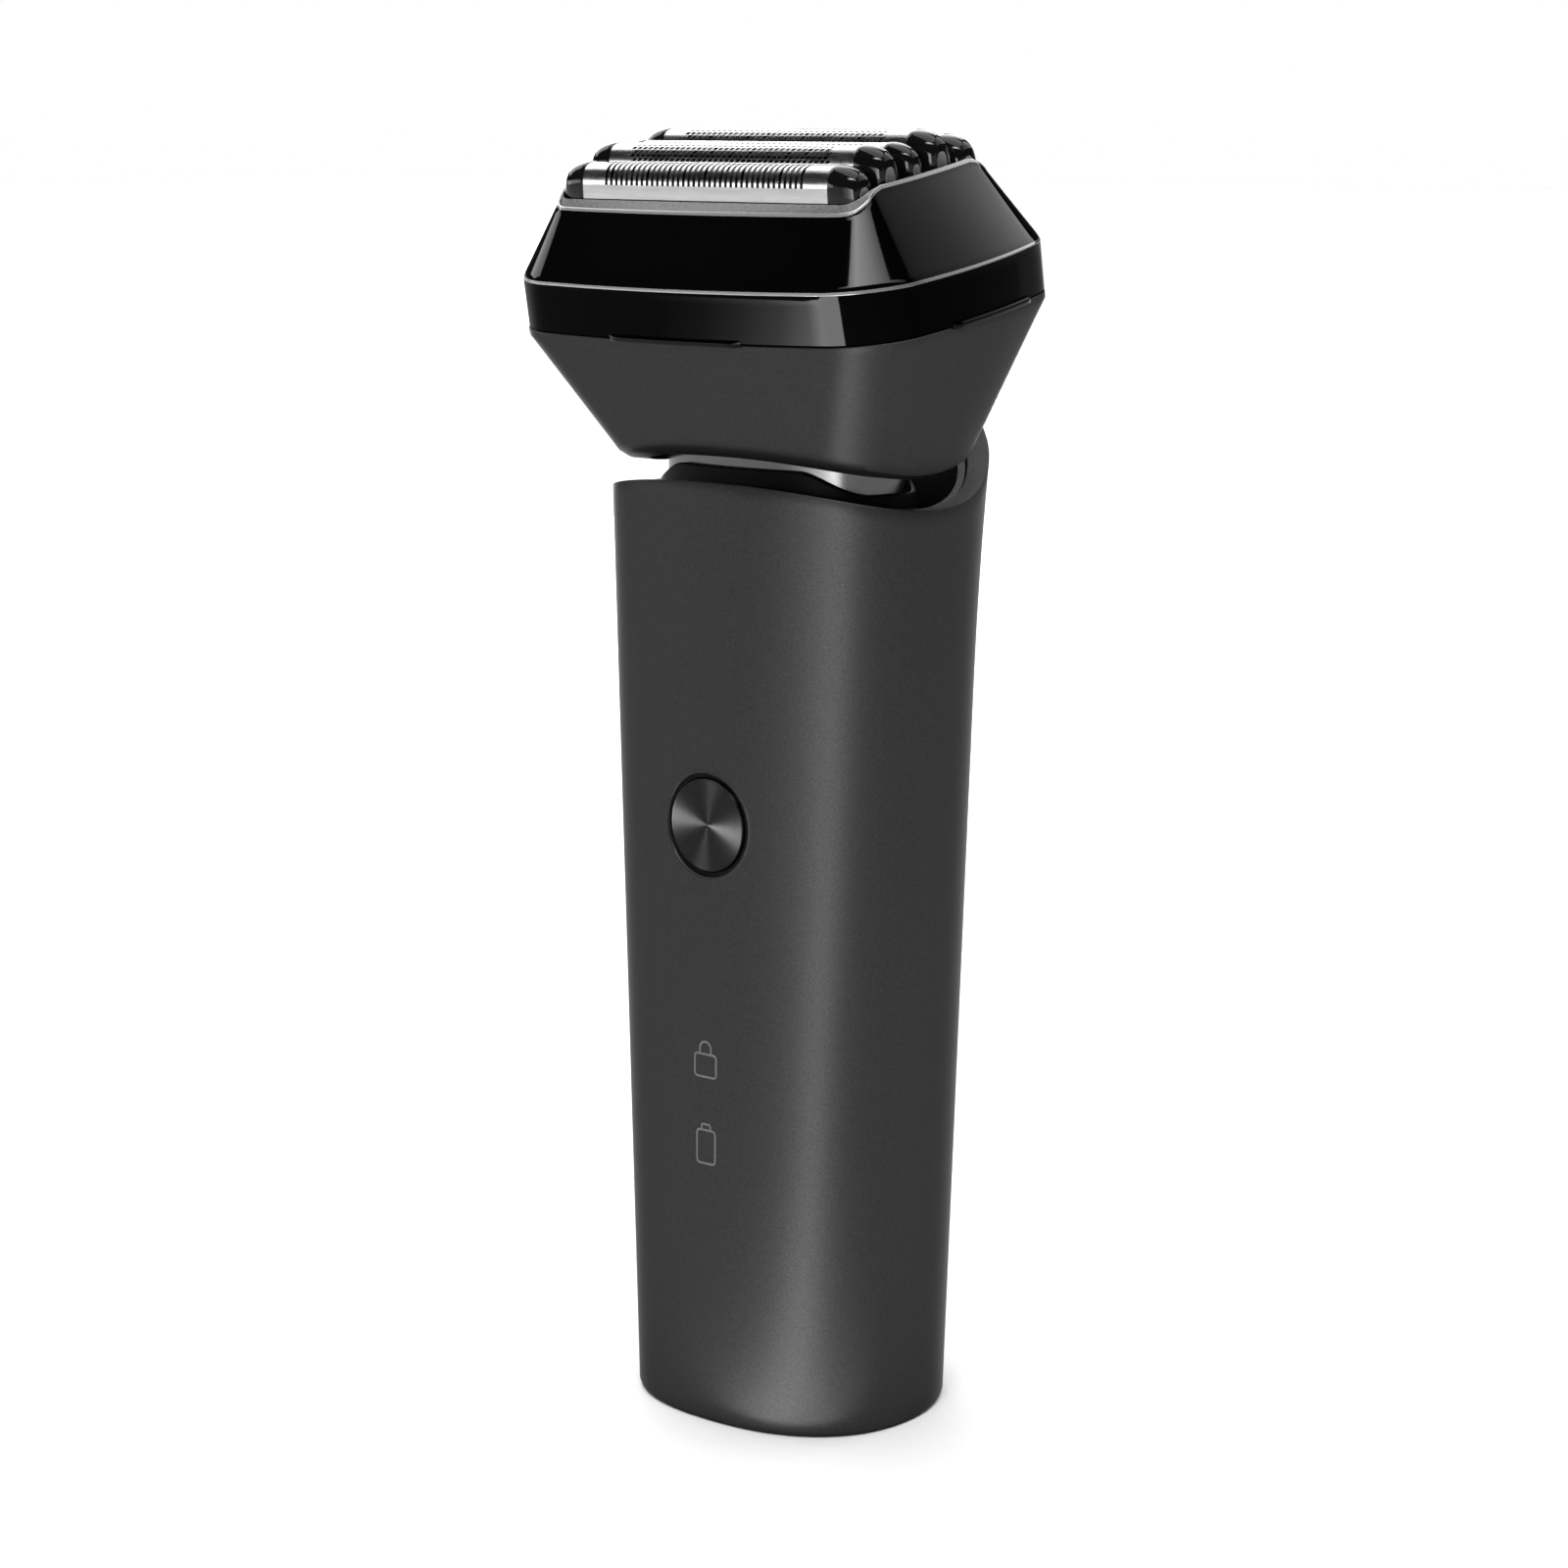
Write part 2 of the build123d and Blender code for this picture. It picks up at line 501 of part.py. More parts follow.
def deck():
    """Drive deck across the head, under the cassette."""
    plate = bowed_rectangle(*shell_outline(DECK_W), inset=SHELL_WALL + FIT + DECK_EDGE)
    pieces = [extrude(plate, DECK_THICK)]
    for x in (-ROD_POST_X, ROD_POST_X):
        for v in (-ROD_V, ROD_V):
            x_low, x_high = x - ROD_POST_HALF_X, x + ROD_POST_HALF_X
            v_low, v_high = v - ROD_POST_HALF_V, v + ROD_POST_HALF_V
            pieces.append(block(x_low, x_high, v_low, v_high, DECK_TOP_W, BRIDGE_W + ROD_POST_RISE))
    low, high = DECK_W - PAST, DECK_TOP_W + PAST
    cuts = rod_bores(ROD_RADIUS)
    cuts += [tower(MOTOR_SCREW_RADIUS, low, high, x, 0) for x in (-MOTOR_SCREW_X, MOTOR_SCREW_X)]
    cuts.append(tower(DECK_BORE, low, high))
    return HEAD * (joined(pieces) - joined(cuts))


def deck_seal():
    """Gasket ring between the deck and the cassette."""
    outer = extrude(bowed_rectangle(*SEAL_OUTER, DECK_TOP_W), SEAL_THICK)
    inner = extrude(bowed_rectangle(*SEAL_INNER, DECK_TOP_W - PAST), SEAL_THICK + 2 * PAST)
    return HEAD * (outer - inner)


def guide_rods():
    w = BRIDGE_W + BRIDGE_THICK / 2
    return HEAD * Compound([x_cylinder(ROD_RADIUS, ROD_LENGTH, v, w) for v in (-ROD_V, ROD_V)])


def motor_can():
    can = tower(MOTOR_RADIUS, MOTOR_FOOT_W, MOTOR_TOP_W)
    inside = tower(MOTOR_RADIUS - MOTOR_WALL, MOTOR_FOOT_W + MOTOR_END, MOTOR_TOP_W - MOTOR_END)
    bore = tower(SHAFT_RADIUS + FIT, MOTOR_FOOT_W - PAST, MOTOR_TOP_W + PAST)
    places = (-MOTOR_SCREW_X, MOTOR_SCREW_X)
    screws = [tower(MOTOR_SCREW_RADIUS, MOTOR_TOP_W - PAST, MOTOR_TOP_W + PAST, x, 0) for x in places]
    return HEAD * (can - inside - bore - joined(screws))


def motor_magnets():
    """Two arc magnets on the inside of the can."""
    outer = MOTOR_RADIUS - MOTOR_WALL
    ring = tower(outer, MOTOR_FOOT_W + MAGNET_INSET, MOTOR_TOP_W - MAGNET_INSET)
    ring = ring - tower(outer - MOTOR_MAGNET, MOTOR_FOOT_W, MOTOR_TOP_W)
    gap = block(-FAR, FAR, -MAGNET_GAP / 2, MAGNET_GAP / 2, MOTOR_FOOT_W, MOTOR_TOP_W)
    return HEAD * Compound((ring - gap).solids())


def motor_screws():
    pieces = []
    for x in (-MOTOR_SCREW_X, MOTOR_SCREW_X):
        head = tower(MOTOR_HEAD_RADIUS, DECK_TOP_W, DECK_TOP_W + MOTOR_HEAD, x, 0)
        thread = tower(MOTOR_SCREW_RADIUS - RING_FIT, MOTOR_TOP_W - MOTOR_END, DECK_TOP_W, x, 0)
        pieces.append(head + thread)
    return HEAD * Compound(pieces)


def rocker_rails():
    """Two plates under the deck with arc slots that run on the guide pins."""
    ring = tilt_cylinder(GUIDE_RADIUS + GUIDE_PIN_RADIUS + GUIDE_FIT)
    ring = ring - tilt_cylinder(GUIDE_RADIUS - GUIDE_PIN_RADIUS - GUIDE_FIT)
    reach = GUIDE_RADIUS * math.radians(TILT_LIMIT) + GUIDE_PIN_RADIUS + 5 * GUIDE_FIT
    slots = []
    for angle in GUIDE_ANGLES:
        y = guide_point(angle)[0]
        slots.append(ring & block(-FAR, FAR, y - reach, y + reach, BRACKET_Z, TILT_Z))
    inside = HEAD * bowed_loft(shell_outline(SHELL_FOOT_W), SHELL_SHOULDER, SHELL_WALL + RAIL_GAP)
    inside = inside & tilt_cylinder(UNDERSIDE_RADIUS - UNDERSIDE_WALL - RAIL_GAP)
    inside = inside & (HEAD * block(-FAR, FAR, -FAR, FAR, -2 * FAR, DECK_W))
    solids = []
    for side in (-1, 1):
        x_low, x_high = sorted((side * RAIL_INNER, side * RAIL_OUTER))
        plate = block(x_low, x_high, RAIL_FRONT, RAIL_BACK, NECK_TOP + RAIL_RISE, RAIL_TOP)
        arm = HEAD * block(x_low, x_high, -RAIL_ARM_HALF_V, RAIL_ARM_HALF_V, RAIL_ARM_FOOT_W, DECK_W)
        solids += (((plate - joined(slots)) + arm) & inside).solids()
    return Compound(solids)


def head_magnets():
    """Four magnets in the deck that hold the cassette down."""
    low, high = DECK_TOP_W, DECK_TOP_W + MAGNET_THICK
    places = [(x, v) for x in (-MAGNET_X, MAGNET_X) for v in (-MAGNET_V, MAGNET_V)]
    return HEAD * Compound([tower(MAGNET_RADIUS, low, high, x, v) for x, v in places])


# ---------------------------------------------------------------- motor rotor and drive bridge


def rotor_shaft():
    return HEAD * tower(SHAFT_RADIUS, MOTOR_FOOT_W + LOOSE_FIT, DECK_TOP_W + DISC_GAP)


def rotor_core():
    core = tower(CORE_RADIUS, MOTOR_FOOT_W + CORE_INSET, MOTOR_TOP_W - CORE_INSET)
    core = core - tower(SHAFT_RADIUS, MOTOR_FOOT_W, MOTOR_TOP_W)
    half = CORE_SLOT / 2
    slot = block(CORE_SLOT_START, CORE_RADIUS + PAST, -half, half, MOTOR_FOOT_W, MOTOR_TOP_W)
    return HEAD * (core - joined([Rotation(0, 0, angle) * slot for angle in (0, 120, 240)]))


def eccentric():
    """Disc on the shaft with the crank pin set off towards the back."""
    low = DECK_TOP_W + DISC_GAP
    disc = tower(DISC_RADIUS, low, low + DISC_THICK)
    return HEAD * (disc + tower(CRANK_RADIUS, low, BRIDGE_TOP_W, 0, CRANK_OFFSET))


def prong_places():
    return [(x, v) for x in (-PRONG_X, PRONG_X) for v in UNIT_V]


def drive_bridge():
    """Plate that slides along X on two rods."""
    half_x, half_v = BRIDGE_HALF_X, BRIDGE_HALF_V
    plate = block(-half_x, half_x, -half_v, half_v, BRIDGE_W, BRIDGE_TOP_W)
    hole = tower(CRANK_OFFSET + CRANK_RADIUS + STROKE + CRANK_ROOM, BRIDGE_W - PAST, BRIDGE_TOP_W + PAST)
    seats = [tower(PRONG_RADIUS, BRIDGE_W, BRIDGE_TOP_W + PAST, x, v) for x, v in prong_places()]
    return HEAD * (plate - hole - joined(rod_bores(ROD_RADIUS + ROD_FIT)) - joined(seats))


def drive_prongs():
    """Ten steel pins that reach up into the cutters."""
    low = BRIDGE_TOP_W - PRONG_ROOT
    return HEAD * Compound([tower(PRONG_RADIUS, low, PRONG_TOP_W, x, v) for x, v in prong_places()])


# ---------------------------------------------------------------- foil cassette


def upright_extrude(face, x_low, x_high, v=0.0):
    """Extrudes along X a face drawn in (v, w)."""
    upright = Plane(origin=(x_low, v, 0), x_dir=(0, 1, 0), z_dir=(1, 0, 0))
    return extrude(upright * face, x_high - x_low)


def under_crown():
    """Everything under the crown line: low at front and back, with an S-bend up to the sides."""
    slope = 0.02
    left, right = (-RIM_BEND_OUT, RIM_LOW), (RIM_BEND_OUT, RIM_LOW)
    lines = [
        Line((-FAR, -FAR), (-FAR, RIM_LOW)),
        Line((-FAR, RIM_LOW), left),
        Spline([left, (-RIM_BEND_IN, RIM_HIGH)], tangents=[(1, slope), (1, slope)]),
        Line((-RIM_BEND_IN, RIM_HIGH), (RIM_BEND_IN, RIM_HIGH)),
        Spline([(RIM_BEND_IN, RIM_HIGH), right], tangents=[(1, -slope), (1, -slope)]),
        Line(right, (FAR, RIM_LOW)),
        Line((FAR, RIM_LOW), (FAR, -FAR)),
        Line((FAR, -FAR), (-FAR, -FAR)),
    ]
    return upright_extrude(make_face(lines), -FAR, FAR)


def cover_solid(inset):
    body = bowed_loft(COVER_EDGE, COVER_CROWN, inset)
    return body + bowed_loft(COVER_FOOT, COVER_EDGE, inset)


def finger_lips():
    """Thin ledges along the cover's foot on all four sides."""
    foot = COVER_FOOT[5]
    high, half = foot + LIP_HEIGHT, LIP_DEPTH / 2
    lips = []
    for side in (-1, 1):
        v, x = side * LIP_FRONT_V, side * LIP_SIDE_X
        lips.append(block(-LIP_HALF_WIDTH, LIP_HALF_WIDTH, v - half, v + half, foot, high))
        lips.append(block(x - half, x + half, LIP_SIDE_LOW, LIP_SIDE_HIGH, foot, high))
    return lips


def cassette_cover():
    """Gloss cover: band below, sloping bezel above, and a finger lip on each side."""
    skin = (cover_solid(0) & under_crown()) - cover_solid(COVER_WALL)
    clear = bowed_loft((*COVER_FOOT[:5], COVER_FOOT[5] - PAST), (*COVER_EDGE[:5], FLOOR_W), COVER_WALL)
    opening = extrude(bowed_rectangle(*OPENING, FLOOR_W), FAR)
    lips = [lip - clear for lip in finger_lips()]
    return HEAD * ((skin - clear - opening) + joined(lips))


def foil_carrier():
    """Inner frame: satin rim at the top, side walls and the slotted floor under the foils."""
    walls = cover_solid(COVER_WALL) & under_crown()
    walls = walls & block(-FAR, FAR, -FAR, FAR, FLOOR_W, FAR)
    opening = extrude(bowed_rectangle(*OPENING, FLOOR_W + FLOOR_THICK), FAR)
    half_x, half_v = FLOOR_WINDOW_X, FLOOR_WINDOW_V
    window = block(-half_x, half_x, -half_v, half_v, FLOOR_W - PAST, FLOOR_W + FLOOR_THICK + PAST)
    return HEAD * (walls - opening - window)


def leaf_springs():
    """Ten leaf springs on the carrier's floor, drawn pressed flat."""
    low = FLOOR_W + FLOOR_THICK
    pieces = []
    for x in (-SPRING_X, SPRING_X):
        for v in UNIT_V:
            x_low, x_high = x - SPRING_LENGTH / 2, x + SPRING_LENGTH / 2
            v_low, v_high = v - SPRING_WIDTH / 2, v + SPRING_WIDTH / 2
            pieces.append(block(x_low, x_high, v_low, v_high, low, low + SPRING_THICK))
    return HEAD * Compound(pieces)


def keeper_plates():
    """Two steel plates under the floor that meet the head's magnets."""
    plates = []
    for side in (-1, 1):
        x_low, x_high = sorted((side * KEEPER_INNER, side * KEEPER_OUTER))
        plates.append(block(x_low, x_high, -KEEPER_HALF_V, KEEPER_HALF_V, FLOOR_W - KEEPER_THICK, FLOOR_W))
    return HEAD * Compound(plates)


def arch_bar(half, top, foot, x_low, x_high, v):
    """Bar along X whose section has straight sides and a domed top."""
    shoulder = top - half * DOME_SHARE
    lines = [
        Line((-half, foot), (-half, shoulder)),
        ThreePointArc((-half, shoulder), (0, top), (half, shoulder)),
        Line((half, shoulder), (half, foot)),
        Line((half, foot), (-half, foot)),
    ]
    return upright_extrude(make_face(lines), x_low, x_high, v)


def foil(index):
    v, top, half = UNIT_V[index], UNIT_TOP[index], UNIT_HALF[index]
    sheet = arch_bar(half, top, FOIL_SKIRT_W, -FOIL_HALF_LENGTH, FOIL_HALF_LENGTH, v)
    hollow = arch_bar(half - FOIL_THICK, top - FOIL_THICK, FOIL_SKIRT_W - PAST, -FAR, FAR, v)
    return HEAD * (sheet - hollow)


def end_caps(index):
    """Two rounded end caps that hold the foil and slide in the carrier."""
    v, top, half = UNIT_V[index], UNIT_TOP[index] + CAP_RISE, UNIT_HALF[index]
    nose_radius = CAP_END - FOIL_HALF_LENGTH
    nose_w = top - nose_radius
    plan = fillet(Rectangle(2 * CAP_END, 2 * half).vertices(), CAP_CORNER)
    footprint = Location((0, v, 0)) * extrude(plan, FAR)
    solids = []
    for side in (-1, 1):
        x_low, x_high = sorted((side * FOIL_HALF_LENGTH, side * CAP_END))
        bar = arch_bar(half, top, CAP_FOOT_W, x_low, x_high, v)
        nose = y_cylinder(nose_radius, v - 2 * half, v + 2 * half, side * FOIL_HALF_LENGTH, nose_w)
        below = block(-FAR, FAR, v - 2 * half, v + 2 * half, 0, nose_w)
        solids += (bar & (nose + below) & footprint).solids()
    return HEAD * Compound(solids)


def cutter(index):
    """Inner cutter: half-round blade block with sockets for the drive prongs."""
    v, top, half = UNIT_V[index], UNIT_TOP[index], UNIT_HALF[index]
    inset = FOIL_THICK + CUTTER_GAP
    bar = arch_bar(half - inset, top - inset, CUTTER_FOOT_W, -CUTTER_HALF_LENGTH, CUTTER_HALF_LENGTH, v)
    gullets = []
    for i in range(GULLET_COUNT):
        x = (i - (GULLET_COUNT - 1) / 2) * GULLET_PITCH
        x_low, x_high = x - GULLET_WIDTH / 2, x + GULLET_WIDTH / 2
        gullets.append(block(x_low, x_high, v - 2 * half, v + 2 * half, top - GULLET_DEPTH, top + PAST))
    v_low, v_high = v - STEM_HALF_DEPTH, v + STEM_HALF_DEPTH
    stem = block(-STEM_HALF_LENGTH, STEM_HALF_LENGTH, v_low, v_high, STEM_FOOT_W, CUTTER_FOOT_W)
    radius = PRONG_RADIUS + SOCKET_FIT
    sockets = [tower(radius, STEM_FOOT_W - PAST, SOCKET_TOP_W, x, v) for x in (-PRONG_X, PRONG_X)]
    return HEAD * (bar - joined(gullets) + stem - joined(sockets))


# ---------------------------------------------------------------- button


def button_cap():
    cap = y_cylinder(BUTTON_RADIUS, BUTTON_FACE_Y, BUTTON_BACK_Y, 0, BUTTON_Z)
    return chamfer(cap.edges().filter_by(GeomType.CIRCLE).sort_by(Axis.Y)[0], BUTTON_CHAMFER)


def button_stem():
    return y_cylinder(STEM_RADIUS, BUTTON_BACK_Y, STEM_BACK_Y, 0, BUTTON_Z)


NODES = {
    "handle_shell": handle_shell,
    "base_cap": base_cap,
    "base_seal": base_seal,
    "usb_port_shell": port_shell,
    "usb_port_tongue": port_tongue,
    "inner_chassis": inner_chassis,
    "battery_cell": battery_cell,
    "battery_tabs": battery_tabs,
    "circuit_board": circuit_board,
    "board_components": board_components,
    "tact_switch": tact_switch,
    "indicator_leds": indicator_leds,
    "lock_light_guide": lambda: light_guide(ICON_Z[0]),
    "battery_light_guide": lambda: light_guide(ICON_Z[1]),
    "button_ring": button_ring,
    "button_seal": button_seal,
    "base_screws": base_screws,
    "board_screws": board_screws,
    "neck_sleeve": neck_sleeve,
    "neck_collar": neck_collar,
    "neck_bracket": neck_bracket,
    "rim_liner": rim_liner,
    "guide_pins": guide_pins,
    "head_lower_shell": head_lower_shell,
    "deck": deck,
    "deck_seal": deck_seal,
    "guide_rods": guide_rods,
    "motor_can": motor_can,
    "motor_magnets": motor_magnets,
    "motor_screws": motor_screws,
    "rocker_rails": rocker_rails,
    "head_magnets": head_magnets,
    "rotor_shaft": rotor_shaft,
    "rotor_core": rotor_core,
    "eccentric": eccentric,
    "drive_bridge": drive_bridge,
    "drive_prongs": drive_prongs,
    "cassette_cover": cassette_cover,
    "foil_carrier": foil_carrier,
    "leaf_springs": leaf_springs,
    "keeper_plates": keeper_plates,
    "button_cap": button_cap,
    "button_stem": button_stem,
}

os.makedirs("parts", exist_ok=True)
for name, make in NODES.items():
    save(name, make())
for index in range(len(UNIT_V)):
    save(f"foil_{index + 1}", foil(index))
    save(f"end_caps_{index + 1}", end_caps(index))
    save(f"cutter_{index + 1}", cutter(index))
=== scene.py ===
import json
import math

import bmesh
import bpy
from mathutils import Matrix, Vector


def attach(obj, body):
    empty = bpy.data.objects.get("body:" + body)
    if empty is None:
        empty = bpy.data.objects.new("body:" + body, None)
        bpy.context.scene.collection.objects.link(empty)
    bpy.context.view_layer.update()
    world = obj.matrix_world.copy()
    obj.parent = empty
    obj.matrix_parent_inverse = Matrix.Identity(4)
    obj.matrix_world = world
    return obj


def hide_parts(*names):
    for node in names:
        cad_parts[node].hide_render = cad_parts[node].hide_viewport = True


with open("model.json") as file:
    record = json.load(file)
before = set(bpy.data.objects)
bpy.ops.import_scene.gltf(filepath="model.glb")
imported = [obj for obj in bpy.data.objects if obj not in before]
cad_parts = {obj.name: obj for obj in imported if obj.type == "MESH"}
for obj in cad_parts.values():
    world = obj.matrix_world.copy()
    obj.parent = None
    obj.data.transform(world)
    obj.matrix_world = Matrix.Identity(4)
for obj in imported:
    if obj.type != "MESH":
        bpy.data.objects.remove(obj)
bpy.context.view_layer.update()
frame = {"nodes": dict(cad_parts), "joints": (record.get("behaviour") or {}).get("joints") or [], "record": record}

# All sizes below are millimetres in the row frame; MM turns them into metres.
MM = 0.001
DOUBLED = 1e-6  # points closer than this, in metres, are one point

# ---------------------------------------------------------------- shared geometry

HANDLE_COLUMNS = 176
HALF_WIDTH, WIDTH_GAIN = 20.085, 0.0403
FRONT_DEPTH, FRONT_LOSS, FRONT_POWER = 16.557, 0.006, 2.34
BACK_DEPTH, BACK_GAIN, BACK_POWER = 20.177, 0.0257, 1.92
FLARE_START, FLARE_GAIN, FLARE_SPAN = 92.0, 2.1, 30.0
RIM_Y, RIM_Z, RIM_RADIUS, RIM_TOP = -2.0, 151.0, 34.7, 127.2
RIM_WALL = 2.7
RIM_EASE = 1.1
BUTTON_Z, BUTTON_HOLE, BUTTON_RADIUS, BUTTON_FACE_Y = 76.76, 6.6, 5.85, -15.85
TILT_Y, TILT_Z, UNDERSIDE_RADIUS = -1.5, 151.0, 31.2
UNIT_V = (-9.99, -4.97, 0.0, 4.97, 9.99)
UNIT_TOP = (13.16, 14.6, 14.0, 14.6, 13.16)
UNIT_HALF = (2.35, 2.3, 1.75, 2.3, 2.35)
FOIL_HALF_LENGTH, FOIL_FOOT, CAP_END, CAP_FOOT = 19.45, 7.2, 23.2, 3.9
ARCH_DEPTH, ARCH_POWER, FOIL_THICK = 2.54, 3.0, 0.08
NECK_Y, NECK_HALF_WIDTH, NECK_HALF_DEPTH, NECK_COLUMNS = -0.7, 17.3, 9.4, 160
NECK_POWER = 0.87
COLLAR_TOP, COLLAR_FOOT, COLLAR_DIP, COLLAR_DIP_START = 120.5, 113.0, 2.8, 9.0
WAY_IN_WIDTH, WAY_IN_DEPTH, WAY_IN_GROW, TILT_ROOM = 17.9, 12.0, 0.7, 2.2
SHELL_WALL, SHELL_FLOOR = 1.8, 1.6

JOINTS = {j["name"]: j for j in frame["joints"]}
HEAD_ORIGIN = Vector(JOINTS["motor_spin"]["pos_m"]) / MM
HEAD_UP = Vector(JOINTS["cassette_lift"]["axis"])
HEAD_NOD = math.atan2(-HEAD_UP.y, HEAD_UP.z)
HEAD = Matrix.Translation(HEAD_ORIGIN) @ Matrix.Rotation(HEAD_NOD, 4, "X")


def smoothstep(low, high, value):
    t = min(1.0, max(0.0, (value - low) / (high - low)))
    return t * t * (3 - 2 * t)


def mesh_piece(name, points, faces, material, body, stands_for=(), place=None, sharp=40.0):
    """A mesh from millimetre points, smooth except at edges sharper than the given angle."""
    mesh = bpy.data.meshes.new(name)
    moved = [(place @ Vector(p)) if place is not None else Vector(p) for p in points]
    mesh.from_pydata([p * MM for p in moved], [], faces)
    mesh.validate()
    tidy_mesh(mesh)
    piece = bpy.data.objects.new(name, mesh)
    bpy.context.scene.collection.objects.link(piece)
    mesh.materials.append(material)
    smooth_by_angle(mesh, sharp)
    return finish_piece(piece, body, stands_for)


def tidy_mesh(mesh):
    """Joins doubled points, drops slivers and turns every face outwards."""
    work = bmesh.new()
    work.from_mesh(mesh)
    bmesh.ops.remove_doubles(work, verts=work.verts, dist=DOUBLED)
    bmesh.ops.dissolve_degenerate(work, edges=work.edges, dist=DOUBLED)
    bmesh.ops.recalc_face_normals(work, faces=work.faces)
    work.to_mesh(mesh)
    work.free()
    mesh.update()


def smooth_by_angle(mesh, degrees):
    """Smooth shading except at edges sharper than the given angle."""
    for polygon in mesh.polygons:
        polygon.use_smooth = True
    mesh.set_sharp_from_angle(angle=math.radians(degrees))


def finish_piece(piece, body, stands_for=()):
    """Gives the piece its body and the CAD nodes it replaces."""
    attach(piece, body)
    if stands_for:
        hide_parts(*stands_for)
    return piece


def ring_grid(rows, close_rows=False):
    """Points and quads of closed rings stacked in order; the last ring can join the first."""
    count = len(rows[0])
    points = [p for row in rows for p in row]
    faces = []
    for r in range(len(rows) if close_rows else len(rows) - 1):
        low, high = r * count, ((r + 1) % len(rows)) * count
        for c in range(count):
            d = (c + 1) % count
            faces.append((low + c, low + d, high + d, high + c))
    return points, faces


def modifier(piece, kind, **settings):
    made = piece.modifiers.new(kind.lower(), kind)
    for key, value in settings.items():
        setattr(made, key, value)
    return made


def apply_modifiers(piece):
    """Bakes the piece's modifiers into its mesh."""
    graph = bpy.context.evaluated_depsgraph_get()
    mesh = bpy.data.meshes.new_from_object(piece.evaluated_get(graph))
    piece.modifiers.clear()
    piece.data = mesh


# ---------------------------------------------------------------- materials


def fill_ramp(ramp, stops):
    """Sets a colour ramp from (place, value) pairs, where a value is a grey or a colour."""
    while len(ramp.elements) < len(stops):
        ramp.elements.new(0.5)
    for element, (place, value) in zip(ramp.elements, stops):
        element.position = place
        element.color = (*value, 1.0) if isinstance(value, tuple) else (value, value, value, 1.0)


class Graph:
    """Short way to write a node material."""

    def __init__(self, name):
        self.material = bpy.data.materials.new(name)
        self.material.use_nodes = True
        self.tree = self.material.node_tree
        self.shader = self.tree.nodes["Principled BSDF"]

    def node(self, kind, **inputs):
        made = self.tree.nodes.new("ShaderNode" + kind)
        for key, value in inputs.items():
            key = key.replace("_", " ")
            if key in made.inputs:
                self.put(made.inputs[key], value)
            else:
                setattr(made, key.replace(" ", "_"), value)
        return made

    def put(self, socket, value):
        if isinstance(value, bpy.types.NodeSocket):
            self.tree.links.new(value, socket)
        else:
            socket.default_value = value

    def set(self, **inputs):
        for key, value in inputs.items():
            self.put(self.shader.inputs[key.replace("_", " ")], value)

    def noise(self, scale, detail=2.0, roughness=0.5):
        where = self.node("TexCoord").outputs["Object"]
        return self.node("TexNoise", Vector=where, Scale=scale, Detail=detail, Roughness=roughness)

    def ramp(self, factor, stops):
        made = self.node("ValToRGB", Fac=factor)
        fill_ramp(made.color_ramp, stops)
        return made.outputs["Color"]

    def bump(self, height, strength, distance):
        made = self.node("Bump", Height=height, Strength=strength, Distance=distance)
        self.put(self.shader.inputs["Normal"], made.outputs["Normal"])


def plain(name, colour, roughness, metallic=0.0, grain=900.0, vary=0.12, bump=0.05, specular=0.5):
    """A finish with slight colour and roughness variation and a fine grain."""
    g = Graph(name)
    broad = g.noise(60.0, 3.0).outputs["Fac"]
    fine = g.noise(grain, 2.0).outputs["Fac"]
    low = tuple(c * (1 - vary) for c in colour)
    high = tuple(min(1.0, c * (1 + vary)) for c in colour)
    g.set(Base_Color=g.ramp(fine, [(0.3, low), (0.7, high)]))
    g.set(Roughness=g.ramp(broad, [(0.3, roughness * 0.92), (0.7, min(1.0, roughness * 1.08))]))
    g.set(Metallic=metallic, Specular_IOR_Level=specular)
    g.bump(fine, bump, 0.00005)
    return g.material


def brushed(name, colour, roughness, stretch, scale=2200.0, anisotropy=0.6):
    """Ground metal: fine scratches drawn out along one axis."""
    g = Graph(name)
    where = g.node("TexCoord").outputs["Object"]
    mapped = g.node("Mapping", Vector=where, Scale=stretch).outputs["Vector"]
    lines = g.node("TexNoise", Vector=mapped, Scale=scale, Detail=2.0).outputs["Fac"]
    low = tuple(c * 0.9 for c in colour)
    g.set(Base_Color=g.ramp(lines, [(0.3, low), (0.7, colour)]), Metallic=1.0)
    g.set(Roughness=g.ramp(lines, [(0.3, roughness * 0.8), (0.7, roughness * 1.2)]))
    g.set(Anisotropic=anisotropy)
    g.bump(lines, 0.06, 0.00002)
    return g.material


def gloss(name, value, specular=0.1, ior=1.5):
    """Moulded high-gloss black with the faintest orange peel."""
    g = Graph(name)
    broad = g.noise(45.0, 1.0).outputs["Fac"]
    g.set(Base_Color=g.ramp(broad, [(0.35, value * 0.8), (0.65, value * 1.2)]))
    g.set(Roughness=g.ramp(broad, [(0.3, 0.035), (0.7, 0.06)]))
    g.set(Specular_IOR_Level=specular, IOR=ior)
    g.bump(broad, 0.015, 0.0002)
    return g.material


